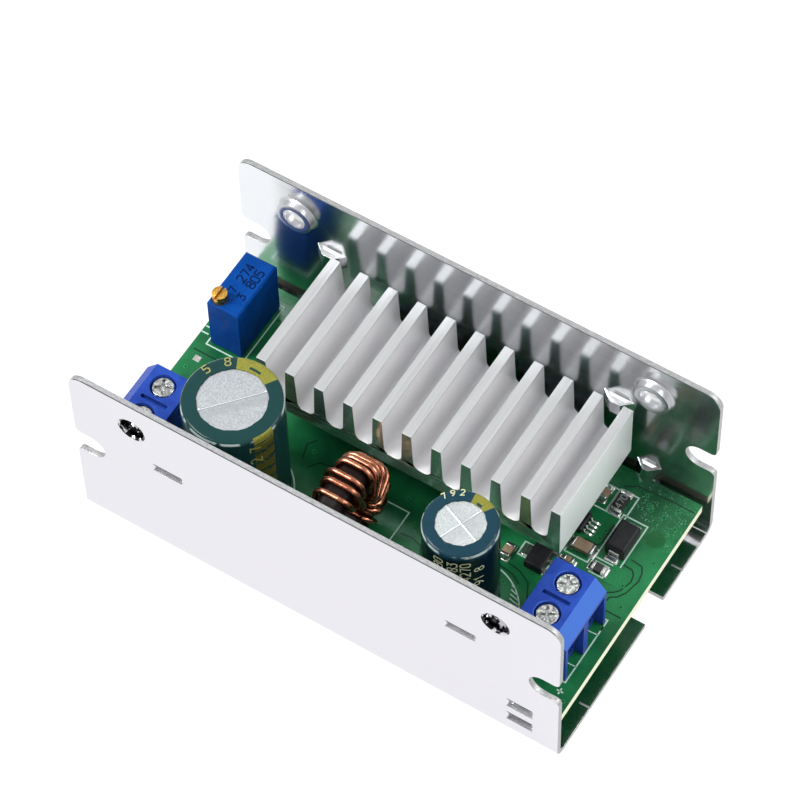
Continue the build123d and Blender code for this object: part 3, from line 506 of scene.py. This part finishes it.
USE = {
    "case_channel": "sheet", "circuit_board": "board", "solder_joints": "solder", "heatsink": "sink",
    "rectifier_body": "epoxy", "rectifier_tab": "tin", "rectifier_leads": "tin",
    "switch_transistor_body": "epoxy", "switch_transistor_tab": "tin", "switch_transistor_leads": "tin",
    "thermal_pads": "pad", "output_capacitor_can": "cap_out", "output_capacitor_sleeve": "sleeve_out",
    "output_capacitor_bung": "rubber", "output_capacitor_leads": "tin", "input_capacitor_can": "cap_in",
    "input_capacitor_sleeve": "sleeve_in", "input_capacitor_bung": "rubber", "input_capacitor_leads": "tin",
    "inductor_core": "core", "inductor_winding": "wire", "trimmer_housing": "trim", "trimmer_element": "cermet",
    "trimmer_screw": "brass", "trimmer_seal_ring": "rubber", "trimmer_rotor": "wheel", "trimmer_wiper": "spring",
    "trimmer_pins": "tin", "control_ic_body": "epoxy", "control_ic_leads": "tin", "regulator_body": "epoxy",
    "regulator_leads": "tin", "diode_body": "epoxy", "diode_tabs": "tin", "chip_resistor_bodies": "chip_dark",
    "chip_resistor_ends": "tin", "chip_capacitor_bodies": "chip_brown", "chip_capacitor_ends": "tin",
}
for t in ("input_terminal", "output_terminal"):
    USE[t + "_housing"] = "term"
    USE[t + "_contacts"] = "tin"
    for s in ("near", "far"):
        USE[t + "_screw_" + s] = "nickel"
        USE[t + "_cage_" + s] = "cage"
for n, o in NODES.items():
    o.data.materials[0] = M[USE[n]]

# eased edges on the hard parts
BEVEL = {
    "case_channel": 0.09, "circuit_board": 0.05, "heatsink": 0.10, "control_ic_body": 0.05,
    "diode_body": 0.08, "regulator_body": 0.06, "diode_tabs": 0.04, "regulator_leads": 0.05,
    "control_ic_leads": 0.03, "chip_resistor_bodies": 0.03, "chip_resistor_ends": 0.07,
    "chip_capacitor_bodies": 0.04, "chip_capacitor_ends": 0.10, "trimmer_housing": 0.06,
    "trimmer_screw": 0.08, "input_terminal_housing": 0.10, "output_terminal_housing": 0.10,
    "input_terminal_screw_near": 0.07, "input_terminal_screw_far": 0.07,
    "output_terminal_screw_near": 0.07, "output_terminal_screw_far": 0.07,
    "input_terminal_cage_near": 0.06, "input_terminal_cage_far": 0.06,
    "output_terminal_cage_near": 0.06, "output_terminal_cage_far": 0.06,
    "rectifier_body": 0.08, "switch_transistor_body": 0.08,
}
for n, w in BEVEL.items():
    o = NODES[n]
    q = o.modifiers.new("join", "WELD")
    q.merge_threshold = 1e-6
    q = o.modifiers.new("ease", "BEVEL")
    q.width = w * MM
    q.segments = 2
    q.limit_method = "ANGLE"
    q.angle_limit = math.radians(38)
    q.use_clamp_overlap = True
    q = o.modifiers.new("shade", "WEIGHTED_NORMAL")
    q.keep_sharp = False
    q.weight = 90


# ---------------------------------------------------------------- mesh helpers (millimetres in)
def mesh(name, verts, faces, mat, body="base", smooth=False, fmats=None):
    me = bpy.data.meshes.new(name)
    me.from_pydata([(v[0] * MM, v[1] * MM, v[2] * MM) for v in verts], [], faces)
    me.validate()
    me.update()
    o = bpy.data.objects.new(name, me)
    sc.collection.objects.link(o)
    for k in (mat if isinstance(mat, (list, tuple)) else [mat]):
        me.materials.append(k)
    if fmats:
        for p, i in zip(me.polygons, fmats):
            p.material_index = i
    for p in me.polygons:
        p.use_smooth = smooth
    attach(o, body)
    return o


class Geo:
    """verts and faces gathered from several shapes"""
    def __init__(self):
        self.v, self.f = [], []

    def add(self, v, f):
        n = len(self.v)
        self.v += [tuple(p) for p in v]
        self.f += [tuple(i + n for i in q) for q in f]


def arc(cx, cy, r, a0, a1, n):
    return [(cx + r * math.cos(math.radians(a0 + (a1 - a0) * i / n)),
             cy + r * math.sin(math.radians(a0 + (a1 - a0) * i / n))) for i in range(n + 1)]


def ribbon(pts, w, closed=False):
    """left and right edges of a flat line of width w"""
    n = len(pts)
    L, R = [], []
    for i in range(n):
        p = Vector(pts[i])
        if closed:
            a, b = Vector(pts[i - 1]), Vector(pts[(i + 1) % n])
        else:
            a, b = Vector(pts[max(0, i - 1)]), Vector(pts[min(n - 1, i + 1)])
        d0, d1 = (p - a), (b - p)
        d0 = d0.normalized() if d0.length > 1e-9 else d1.normalized()
        d1 = d1.normalized() if d1.length > 1e-9 else d0
        t = (d0 + d1)
        t = t.normalized() if t.length > 1e-6 else d0
        nrm = Vector((-t.y, t.x))
        c = max(0.35, nrm.dot(Vector((-d0.y, d0.x))))
        L.append(p + nrm * (w / 2 / c))
        R.append(p - nrm * (w / 2 / c))
    return L, R


def line_geo(g, pts, w, place, h, closed=False):
    """a thin raised line; place(x, y, height) gives the 3-D point"""
    L, R = ribbon(pts, w, closed)
    n = len(pts)
    v = []
    for a, b in zip(L, R):
        v += [place(a.x, a.y, 0), place(a.x, a.y, h), place(b.x, b.y, h), place(b.x, b.y, 0)]
    f = []
    m = n if closed else n - 1
    for i in range(m):
        a, b = 4 * i, 4 * ((i + 1) % n)
        f += [(a, b, b + 1, a + 1), (a + 1, b + 1, b + 2, a + 2), (a + 2, b + 2, b + 3, a + 3), (a + 3, b + 3, b, a)]
    if not closed:
        f += [(0, 1, 2, 3), (4 * n - 1, 4 * n - 2, 4 * n - 3, 4 * n - 4)]
    g.add(v, f)


def flat(z):
    return lambda x, y, h: (x, y, z + h)


def prism(g, pts, z0, z1, inset=0.0):
    """upright prism over a convex outline, with a chamfered top"""
    n = len(pts)
    c = Vector((sum(p[0] for p in pts) / n, sum(p[1] for p in pts) / n))
    v = [(p[0], p[1], z0) for p in pts]
    if inset:
        v += [(p[0], p[1], z1 - inset) for p in pts]
    top = []
    for p in pts:
        q = Vector(p)
        d = (c - q)
        q = q + d.normalized() * inset * 1.4 if d.length > 1e-6 else q
        top.append((q.x, q.y, z1))
    v += top
    f = [tuple(reversed(range(n)))]
    rings = 3 if inset else 2
    for k in range(rings - 1):
        for i in range(n):
            j = (i + 1) % n
            f.append((k * n + i, k * n + j, (k + 1) * n + j, (k + 1) * n + i))
    f.append(tuple(range((rings - 1) * n, rings * n)))
    g.add(v, f)


def lathe(g, prof, cx, cy, seg, jitter=None):
    """closed profile [(r, z)] turned about a vertical axis"""
    n = len(prof)
    v, f = [], []
    for s in range(seg):
        a = 2 * math.pi * s / seg
        for i, (r, z) in enumerate(prof):
            dr, dz = jitter(a, i, r, z) if jitter else (0, 0)
            v.append((cx + (r + dr) * math.cos(a), cy + (r + dr) * math.sin(a), z + dz))
    for s in range(seg):
        t = (s + 1) % seg
        for i in range(n):
            j = (i + 1) % n
            f.append((s * n + i, t * n + i, t * n + j, s * n + j))
    g.add(v, f)


def smooth_piece(o, angle=40):
    """smooth shading with the sharp edges kept"""
    for p in o.data.polygons:
        p.use_smooth = True
    o.data.set_sharp_from_angle(angle=math.radians(angle))


BZ = 7.0     # top of the board

# ---------------------------------------------------------------- shrink sleeves
def sleeve(name, c, node, mat, seed):
    rr, top, lap = c["r"], c["top"] - 0.05, c["lap"]
    t = 0.2
    zb = BZ + 1.1
    gz = BZ + 0.3 + 2.6
    prof = []
    # outside, from the bottom up, dipping into the crimp
    for i in range(9):
        z = zb + (gz - 0.9 - zb) * i / 8
        prof.append((rr, z))
    for i in range(1, 12):
        a = i / 12
        prof.append((rr - 0.30 * math.sin(math.pi * a) ** 2, gz - 0.9 + 1.8 * a))
    zs = top - 0.72
    for i in range(13):
        prof.append((rr, gz + 0.9 + (zs - gz - 0.9) * i / 12))
    for i in range(1, 9):
        a = math.pi / 2 * i / 8
        prof.append((rr - 0.62 * (1 - math.cos(a)), zs + 0.62 * math.sin(a)))
    prof.append((rr - 1.0, top - 0.07))
    prof.append((rr - 1.5, top - 0.03))
    for i in range(4):
        prof.append((rr - 1.5 - (rr - 1.5 - lap - 0.05) * (i + 1) / 4, top - 0.03 + 0.03 * (i + 1) / 4))
    prof.append((lap, top - 0.06))
    prof.append((lap - 0.02, top - 0.14))
    prof.append((lap, top - t + 0.01))
    # inside, back down against the can
    prof.append((rr - 1.0, top - t + 0.01))
    prof.append((rr - t - 0.45, top - t - 0.03))
    prof.append((rr - t - 0.20, top - t - 0.28))
    prof.append((rr - t + 0.005, top - t - 0.62))
    prof.append((rr - t + 0.005, gz + 0.9))
    prof.append((rr - t - 0.25, gz))
    prof.append((rr - t + 0.005, gz - 0.9))
    prof.append((rr - t + 0.005, zb))
    q = random.Random(seed)
    ph = [q.uniform(0, 6.28) for _ in range(6)]

    def jit(a, i, r, z):
        if r < lap + 0.25:
            w = 0.035 * math.sin(9 * a + ph[0]) + 0.025 * math.sin(17 * a + ph[1]) + 0.012 * math.sin(31 * a + ph[2])
            return w, 0.0
        if r > rr - 1.2 and z > top - 0.9:
            return -abs(0.012 * math.sin(13 * a + ph[3]) + 0.010 * math.sin(23 * a + ph[4])), -abs(0.010 * math.sin(19 * a + ph[5]))
        return 0.0, 0.0
    g = Geo()
    lathe(g, prof, c["x"], c["y"], 128, jit)
    o = mesh(name, g.v, g.f, M[mat], "base")
    smooth_piece(o, 50)
    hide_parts(node)
    return o


sleeve("sleeve_large", OUT, "output_capacitor_sleeve", "sleeve_out", 3)
sleeve("sleeve_small", INC, "input_capacitor_sleeve", "sleeve_in", 5)

# ---------------------------------------------------------------- plain digits and signs
GLYPH = {
    "0": [[(0.2, 0), (0.8, 0), (1, 0.25), (1, 1.35), (0.8, 1.6), (0.2, 1.6), (0, 1.35), (0, 0.25), (0.2, 0)]],
    "1": [[(0.2, 1.25), (0.55, 1.6), (0.55, 0)]],
    "2": [[(0, 1.35), (0.25, 1.6), (0.8, 1.6), (1, 1.3), (1, 1.0), (0, 0), (1, 0)]],
    "3": [[(0, 1.6), (1, 1.6), (0.45, 0.95), (0.8, 0.9), (1, 0.6), (1, 0.25), (0.75, 0), (0.2, 0), (0, 0.25)]],
    "4": [[(0.75, 0), (0.75, 1.6), (0, 0.5), (1, 0.5)]],
    "5": [[(1, 1.6), (0.1, 1.6), (0.05, 0.9), (0.7, 0.95), (1, 0.7), (1, 0.25), (0.75, 0), (0, 0.05)]],
    "6": [[(0.9, 1.6), (0.3, 1.2), (0, 0.6), (0.05, 0.2), (0.3, 0), (0.75, 0), (1, 0.25), (1, 0.6), (0.75, 0.85), (0.1, 0.75)]],
    "7": [[(0, 1.6), (1, 1.6), (0.4, 0)]],
    "8": [[(0.3, 0.85), (0.05, 1.1), (0.05, 1.4), (0.3, 1.6), (0.7, 1.6), (0.95, 1.4), (0.95, 1.1), (0.7, 0.85), (0.3, 0.85),
           (0, 0.55), (0, 0.25), (0.25, 0), (0.75, 0), (1, 0.25), (1, 0.55), (0.7, 0.85)]],
    "9": [[(0.1, 0), (0.7, 0.4), (1, 1.0), (0.95, 1.4), (0.7, 1.6), (0.25, 1.6), (0, 1.35), (0, 1.0), (0.25, 0.75), (0.9, 0.85)]],
    "-": [[(0.1, 0.8), (0.9, 0.8)]],
    "+": [[(0.0, 0.8), (1.0, 0.8)], [(0.5, 0.3), (0.5, 1.3)]],
}


def write(g, text, origin, size, w, place, h=0.012, along=(1, 0), up=(0, 1), gap=0.45):
    """strokes of plain digits; origin is the lower left corner in the surface's own plane"""
    ox, oy = origin
    s = size / 1.6
    for ch in text:
        if ch != " ":
            for st in GLYPH[ch]:
                pts = []
                for i in range(len(st) - 1):
                    for k in range(3):
                        a = k / 3
                        pts.append((st[i][0] * (1 - a) + st[i + 1][0] * a, st[i][1] * (1 - a) + st[i + 1][1] * a))
                pts.append(st[-1])
                pts = [(ox + s * (px * along[0] + py * up[0]), oy + s * (px * along[1] + py * up[1])) for px, py in pts]
                line_geo(g, pts, w, place, h)
        ox += s * (1 + gap) * along[0]
        oy += s * (1 + gap) * along[1]


def ring_place(cx, cy, z):
    """plane of (angle in degrees, radius) on a flat ring"""
    def f(a, r, h):
        q = math.radians(a)
        return (cx + r * math.cos(q), cy + r * math.sin(q), z + h)
    return f


def write_ring(g, text, c, a0, r0, size, w, z, step):
    """digits that run round a flat ring, tops outward"""
    s = size / 1.6
    for n, ch in enumerate(text):
        if ch == " ":
            continue
        am = math.radians(a0 + step * n)
        ex = Vector((math.sin(am), -math.cos(am)))     # reading direction, clockwise
        ey = Vector((math.cos(am), math.sin(am)))
        o = Vector((c["x"], c["y"])) + ey * r0 - ex * s * 0.5
        for st in GLYPH[ch]:
            pts = [tuple(o + ex * s * p[0] + ey * s * p[1]) for p in st]
            line_geo(g, pts, w, flat(z), 0.02)


def write_side(g, text, c, ang, z, size, w, vertical=True):
    """digits down the side of a round can; they read from the bottom up"""
    s = size / 1.6
    rr = c["r"]

    def place(u, v, h):
        a = math.radians(ang) + u / rr
        return (c["x"] + (rr + h) * math.cos(a), c["y"] + (rr + h) * math.sin(a), z + v)
    if vertical:
        write(g, text, (0, 0), size, w, place, 0.015, (0, 1), (-1, 0))
    else:
        write(g, text, (0, 0), size, w, place, 0.015)


g = Geo()
write_ring(g, "85", OUT, 129.0, 5.15, 1.15, 0.17, OUT["top"] - 0.06, 30.0)
write_side(g, "2 7", OUT, -25.0, 23.0, 1.5, 0.2)
write_side(g, "38 50", OUT, -63.0, 17.0, 1.5, 0.2)
mesh("large_can_print", g.v, g.f, M["gold_ink"], "base")
g = Geo()
write_ring(g, "297", INC, 118.0, 4.0, 0.8, 0.14, INC["top"] - 0.06, 16.0)
for i, (a, t, z) in enumerate(((-86.0, "380", 22.3), (-64.0, "83", 23.3), (-45.0, "4270", 21.0), (-24.0, "91 8", 19.4))):
    write_side(g, t, INC, a, z, 1.25, 0.17)
mesh("small_can_print", g.v, g.f, M["pale_ink"], "base")

# ---------------------------------------------------------------- board legend, copper edges, pads
g = Geo()
T = flat(BZ)
LW = 0.20


def rect(x0, y0, x1, y1):
    return [(x0, y0), (x1, y0), (x1, y1), (x0, y1)]


for r in (rect(-33.95, 5.85, -28.15, 16.2), rect(27.2, 4.6, 30.8, 11.9), rect(25.0, 11.2, 27.65, 15.1),
          rect(23.0, 11.2, 24.85, 14.9), rect(23.3, 3.3, 26.75, 5.7), rect(18.35, -0.25, 20.0, 1.85), rect(27.6, 2.3, 29.6, 4.05)):
    line_geo(g, r, LW, T, 0.02, True)
line_geo(g, arc(OUT["x"], OUT["y"], 7.0, 0, 360, 72)[:-1], LW, T, 0.02, True)
hc = (16.2, -10.8)
line_geo(g, arc(hc[0], hc[1], 7.5, 0, 360, 72)[:-1], LW, T, 0.02, True)
for i in range(7):
    yy = -5.0 - i * 0.62
    x0 = 20.2 + i * 0.25
    xx = hc[0] + math.sqrt(max(0.0, 7.5 ** 2 - (yy - hc[1]) ** 2))
    if xx > x0 + 0.2:
        line_geo(g, [(x0, yy + 0.35), (xx, yy)], 0.16, T, 0.02)
line_geo(g, rect(-6.0, -18.1, 3.18, -2.35), LW, T, 0.02, True)
line_geo(g, [(33.35, -2.75), (33.3, -13.3), (25.4, -13.3), (25.4, -2.75)], LW, T, 0.02, True)
for yy in (-5.35, -10.75):
    line_geo(g, [(31.4, yy), (33.35, yy + 0.1)], 0.16, T, 0.02)
line_geo(g, [(-35.5, -5.05), (-35.5, -15.4), (-27.6, -15.4), (-27.6, -5.05)], LW, T, 0.02, True)
line_geo(g, [(20.1, -1.35), (22.7, -1.3), (22.8, 0.35)], LW, T, 0.02)
for yy in (7.25, 8.27):
    line_geo(g, [(-35.6, yy), (-34.5, yy)], LW, T, 0.02)
# plus and minus signs beside the terminals
write(g, "-", (34.1, -4.6), 1.5, 0.2, T, 0.02, (0, 1), (-1, 0))
write(g, "+", (34.1, -15.2), 1.5, 0.2, T, 0.02, (0, 1), (-1, 0))
write(g, "+", (-34.2, -2.9), 1.5, 0.2, T, 0.02)
write(g, "-", (-34.2, -17.4), 1.5, 0.2, T, 0.02)
mesh("board_legend", g.v, g.f, M["legend"], "base")

g = Geo()
GW = 0.22
for p in ([(31.36, 6.62), (33.1, 6.4), (33.6, 5.6), (33.85, 4.3), (33.3, 1.9), (32.6, 0.8), (31.9, 0.4), (31.2, -1.9)],
          [(30.93, 5.41), (32.3, 5.3), (32.8, 4.8), (33.05, 3.7), (32.5, 1.9), (31.9, 1.2), (31.2, 0.8), (30.4, -1.9)],
          [(17.0, -1.9), (19.9, -2.3), (21.8, -3.3), (23.1, -5.8)],
          [(17.2, -2.9), (19.4, -3.2), (20.9, -4.1)],
          [(-13.24, -2.5), (-13.86, -0.39), (-13.04, 0.75)], [(-11.9, -3.4), (-10.9, -2.0), (-8.2, -1.5), (-5.6, -1.5)],
          [(3.75, -5.55), (5.62, -5.37), (7.07, -5.83), (8.0, -7.6)],
          [(3.9, -7.9), (5.67, -7.05), (7.0, -7.3)], [(6.2, -1.2), (7.7, -3.4), (10.2, -4.0), (14.0, -3.4), (15.6, -2.2)],
          [(-35.0, 4.4), (-27.0, 4.4), (-24.6, 1.2), (-24.6, -2.6)], [(-26.4, 18.0), (-26.4, 7.0), (-25.2, 5.4)],
          [(-35.0, -3.4), (-26.2, -3.4), (-25.0, -4.6)],
          [(25.0, 15.6), (26.6, 16.6), (31.0, 16.9), (35.0, 16.9)], [(24.6, -1.6), (27.5, -1.6), (34.6, -1.6)],
          [(26.9, 10.0), (26.9, 6.6), (26.5, 6.2), (24.6, 6.2)], [(-6.8, -12.0), (1.8, -12.4), (6.6, -13.0), (9.6, -16.2)],
          [(-9.6, -17.6), (-9.6, -14.0), (-8.4, -12.4)], [(22.9, -6.8), (24.2, -8.6), (24.2, -17.6)]):
    line_geo(g, p, GW, T, 0.008)
mesh("copper_gaps", g.v, g.f, M["gap"], "base")

g = Geo()
prism(g, rect(29.9, 2.0, 32.0, 4.8), BZ, BZ + 0.03)
prism(g, [(6.9, -3.6), (15.0, -3.2), (17.0, -1.6), (17.0, 0.4), (6.4, 0.4)], BZ, BZ + 0.03)
prism(g, rect(-26.0, -2.4, -24.9, 3.8), BZ, BZ + 0.03)
prism(g, rect(-35.2, 16.9, -27.2, 18.4), BZ, BZ + 0.03)
mesh("copper_pours", g.v, g.f, M["pour"], "base")


def ring(g, x, y, r0, r1, z0, z1, seg=20):
    lathe(g, [(r0, z0), (r1, z0), (r1, z1 - 0.01), (r1 - 0.04, z1), (r0 + 0.03, z1), (r0, z1 - 0.01)], x, y, seg)


g = Geo()
vias = [(-34.3, 1.4), (-31.0, 2.6), (-26.9, 2.0), (-29.4, -0.6), (-33.0, -1.4), (-25.6, -17.0), (-12.4, -0.9), (-9.2, -3.0),
        (2.0, -0.6), (4.6, -3.4), (8.4, -1.8), (5.2, -9.2), (6.6, -11.4), (4.0, -14.8), (8.0, -16.6), (-8.6, -15.6), (-4.0, -15.4),
        (19.0, -4.8), (24.6, 0.2), (27.0, 0.4), (33.8, -0.2), (34.2, 7.6), (31.9, 14.2), (29.3, 14.9), (29.9, 14.3), (34.0, 13.4),
        (28.4, 16.0), (33.0, 16.0), (26.4, 8.6), (26.3, 7.2), (32.4, 2.6), (34.4, -15.8), (23.4, -14.8), (23.0, -2.6), (-30.6, 17.4)]
for x, y in vias:
    ring(g, x, y, 0.14, 0.36, BZ, BZ + 0.03, 16)
mesh("via_rings", g.v, g.f, M["pour"], "base", True)
g = Geo()
for x, y in vias:
    prism(g, arc(x, y, 0.13, 0, 330, 11), BZ, BZ + 0.012)
mesh("via_holes", g.v, g.f, M["gap"], "base")

# tinned pads and solder
g = Geo()


def pad(x0, y0, x1, y1):
    x0, x1 = sorted((x0, x1))
    y0, y1 = sorted((y0, y1))
    prism(g, rect(x0, y0, x1, y1), BZ, BZ + 0.035, 0.015)


def fillet(gg, x, y, dx, dy, width, run, rise, seg=6):
    """concave solder wedge at (x, y) that runs out along (dx, dy)"""
    px, py = -dy, dx
    v, f = [], []
    for s in (-0.5, 0.5):
        v.append((x + px * width * s, y + py * width * s, BZ + 0.03))
        for i in range(seg + 1):
            a = i / seg
            u = run * a
            zz = rise * (1 - math.sin(a * math.pi / 2)) ** 1.15
            taper = 1.0 - 0.18 * a
            v.append((x + dx * u + px * width * s * taper, y + dy * u + py * width * s * taper, BZ + 0.035 + zz))
    n = seg + 2
    for i in range(1, seg + 1):
        f.append((i, i + 1, n + i + 1, n + i))
    f.append(tuple(range(0, n)))
    f.append(tuple(reversed(range(n, 2 * n))))
    f.append((0, n, 2 * n - 1, n - 1))
    f.append((0, 1, n + 1, n))
    gg.add(v, f)


sg = Geo()


def chip_pads(x, y, l, w, h, along_x):
    for s in (-1, 1):
        if along_x:
            pad(x + s * (l / 2 - 0.5), y - w / 2 - 0.08, x + s * (l / 2 + 0.45), y + w / 2 + 0.08)
            fillet(sg, x + s * l / 2, y, s, 0, w * 0.94, 0.36, h * 0.75)
        else:
            pad(x - w / 2 - 0.08, y + s * (l / 2 - 0.5), x + w / 2 + 0.08, y + s * (l / 2 + 0.45))
            fillet(sg, x, y + s * l / 2, 0, s, w * 0.94, 0.36, h * 0.75)


for a in ((26.0, 13.2, 3.2, 1.6, 0.55, False), (28.5, 3.2, 2.0, 1.25, 0.5, True), (23.55, 13.3, 2.0, 1.25, 0.85, False),
          (25.2, 4.85, 3.2, 1.6, 0.9, True), (17.2, -0.7, 2.0, 1.25, 0.85, False), (24.55, 2.2, 1.6, 0.8, 0.7, True)):
    chip_pads(*a)
for k in range(4):
    y = 8.0 + (k - 1.5) * 0.65
    for s in (-1, 1):
        pad(22.35 + s * 1.72, y - 0.19, 22.35 + s * 3.0, y + 0.19)
        fillet(sg, 22.35 + s * 2.6, y, s, 0, 0.32, 0.3, 0.14, 4)
for s in (-1, 1):
    pad(29.25 - 0.95, 8.1 + s * 1.5, 29.25 + 0.95, 8.1 + s * 3.25)
    fillet(sg, 29.25, 8.1 + s * 2.7, 0, s, 1.45, 0.42, 0.5)
    xp = 0.9 + 9.5 * s
    pad(xp - 2.54 - 0.65, 2.9, xp - 2.54 + 0.65, 5.9)
    pad(xp + 2.54 - 0.65, 2.9, xp + 2.54 + 0.65, 5.9)
    pad(xp - 4.9, 9.4, xp + 4.9, 18.2)
pad(18.6, -0.1, 21.2, 1.6)
fillet(sg, 19.1, 0.75, -1, 0, 1.6, 0.4, 0.35)
for k in (-1, 0, 1):
    pad(22.3, 0.75 + k * 1.5 - 0.32, 24.0, 0.75 + k * 1.5 + 0.32)
    fillet(sg, 23.5, 0.75 + k * 1.5, 1, 0, 0.42, 0.35, 0.3)
pad(-34.2, 2.8, -33.2, 3.7)
mesh("tinned_pads", g.v, g.f, M["tin"], "base")
for x, y, r in ((-3.95, -13.28, 0.4), (-3.95, -8.08, 0.4)):
    prof = [(r + 0.01, BZ + 0.9), (r + 0.08, BZ + 0.62), (r + 0.22, BZ + 0.32), (r + 0.5, BZ + 0.1), (r + 0.85, BZ + 0.03), (r + 0.85, BZ), (r + 0.01, BZ)]
    lathe(sg, prof, x, y, 24)
o = mesh("top_solder", sg.v, sg.f, M["solder"], "base")
smooth_piece(o, 50)

# ---------------------------------------------------------------- marks on the parts
g = Geo()
TZ = 17.0
tp = flat(TZ)
write(g, "805", (-29.3, 11.1), 1.25, 0.2, tp, 0.012, (0, 1), (-1, 0), 0.35)
write(g, "274", (-30.9, 11.3), 1.25, 0.2, tp, 0.012, (0, 1), (-1, 0), 0.35)
write(g, "3", (-29.4, 8.9), 1.1, 0.2, tp, 0.012, (0, 1), (-1, 0), 0.35)
write(g, "7", (-31.0, 9.3), 1.1, 0.2, tp, 0.012, (0, 1), (-1, 0), 0.35)
mesh("trimmer_print", g.v, g.f, M["dark_ink"], "base")
g = Geo()
write(g, "470", (26.45, 12.25), 0.85, 0.1, flat(BZ + 0.55), 0.01, (0, 1), (-1, 0), 0.35)
mesh("resistor_print", g.v, g.f, M["grey_ink"], "base")

# ---------------------------------------------------------------- floor and light
fm = bpy.data.materials.new("pale_floor")
fm.use_nodes = True
nt = fm.node_tree
b = nt.nodes["Principled BSDF"]
b.inputs["Roughness"].default_value = 0.9
b.inputs["Emission Color"].default_value = (1.0, 1.0, 1.0, 1)
b.inputs["Emission Strength"].default_value = 0.97
b.inputs["Specular IOR Level"].default_value = 0.0
ns = nt.nodes.new("ShaderNodeTexNoise")
ns.inputs["Scale"].default_value = 40.0
mxn = nt.nodes.new("ShaderNodeMix")
mxn.data_type = "RGBA"
nt.links.new(ns.outputs[0], mxn.inputs["Factor"])
mxn.inputs[6].default_value = (0.115, 0.115, 0.115, 1)
mxn.inputs[7].default_value = (0.125, 0.125, 0.125, 1)
nt.links.new(mxn.outputs[2], b.inputs["Base Color"])
me = bpy.data.meshes.new("floor")
me.from_pydata([(-3, -3, 0), (3, -3, 0), (3, 3, 0), (-3, 3, 0)], [], [(0, 1, 2, 3)])
floor = bpy.data.objects.new("floor", me)
floor.location.z = -0.00002
me.materials.append(fm)
sc.collection.objects.link(floor)

world = bpy.data.worlds.new("studio")
sc.world = world
world.use_nodes = True
wn = world.node_tree
bg = wn.nodes["Background"]
bg.inputs["Color"].default_value = (1.0, 1.0, 1.0, 1)
bg.inputs["Strength"].default_value = 0.85


def area(name, loc, target, size, power, color=(1, 1, 1), size_y=None):
    d = bpy.data.lights.new(name, "AREA")
    d.energy = power
    d.color = color
    d.size = size
    if size_y:
        d.shape = "RECTANGLE"
        d.size_y = size_y
    o = bpy.data.objects.new(name, d)
    o.location = loc
    o.rotation_mode = "QUATERNION"
    o.rotation_quaternion = (Vector(target) - Vector(loc)).to_track_quat("-Z", "Y")
    sc.collection.objects.link(o)
    return o


area("key", (-0.35, -0.25, 0.55), (0, 0, 0.01), 0.30, 5.0)
area("fill", (0.45, 0.25, 0.50), (0, 0, 0.01), 0.35, 2.2)
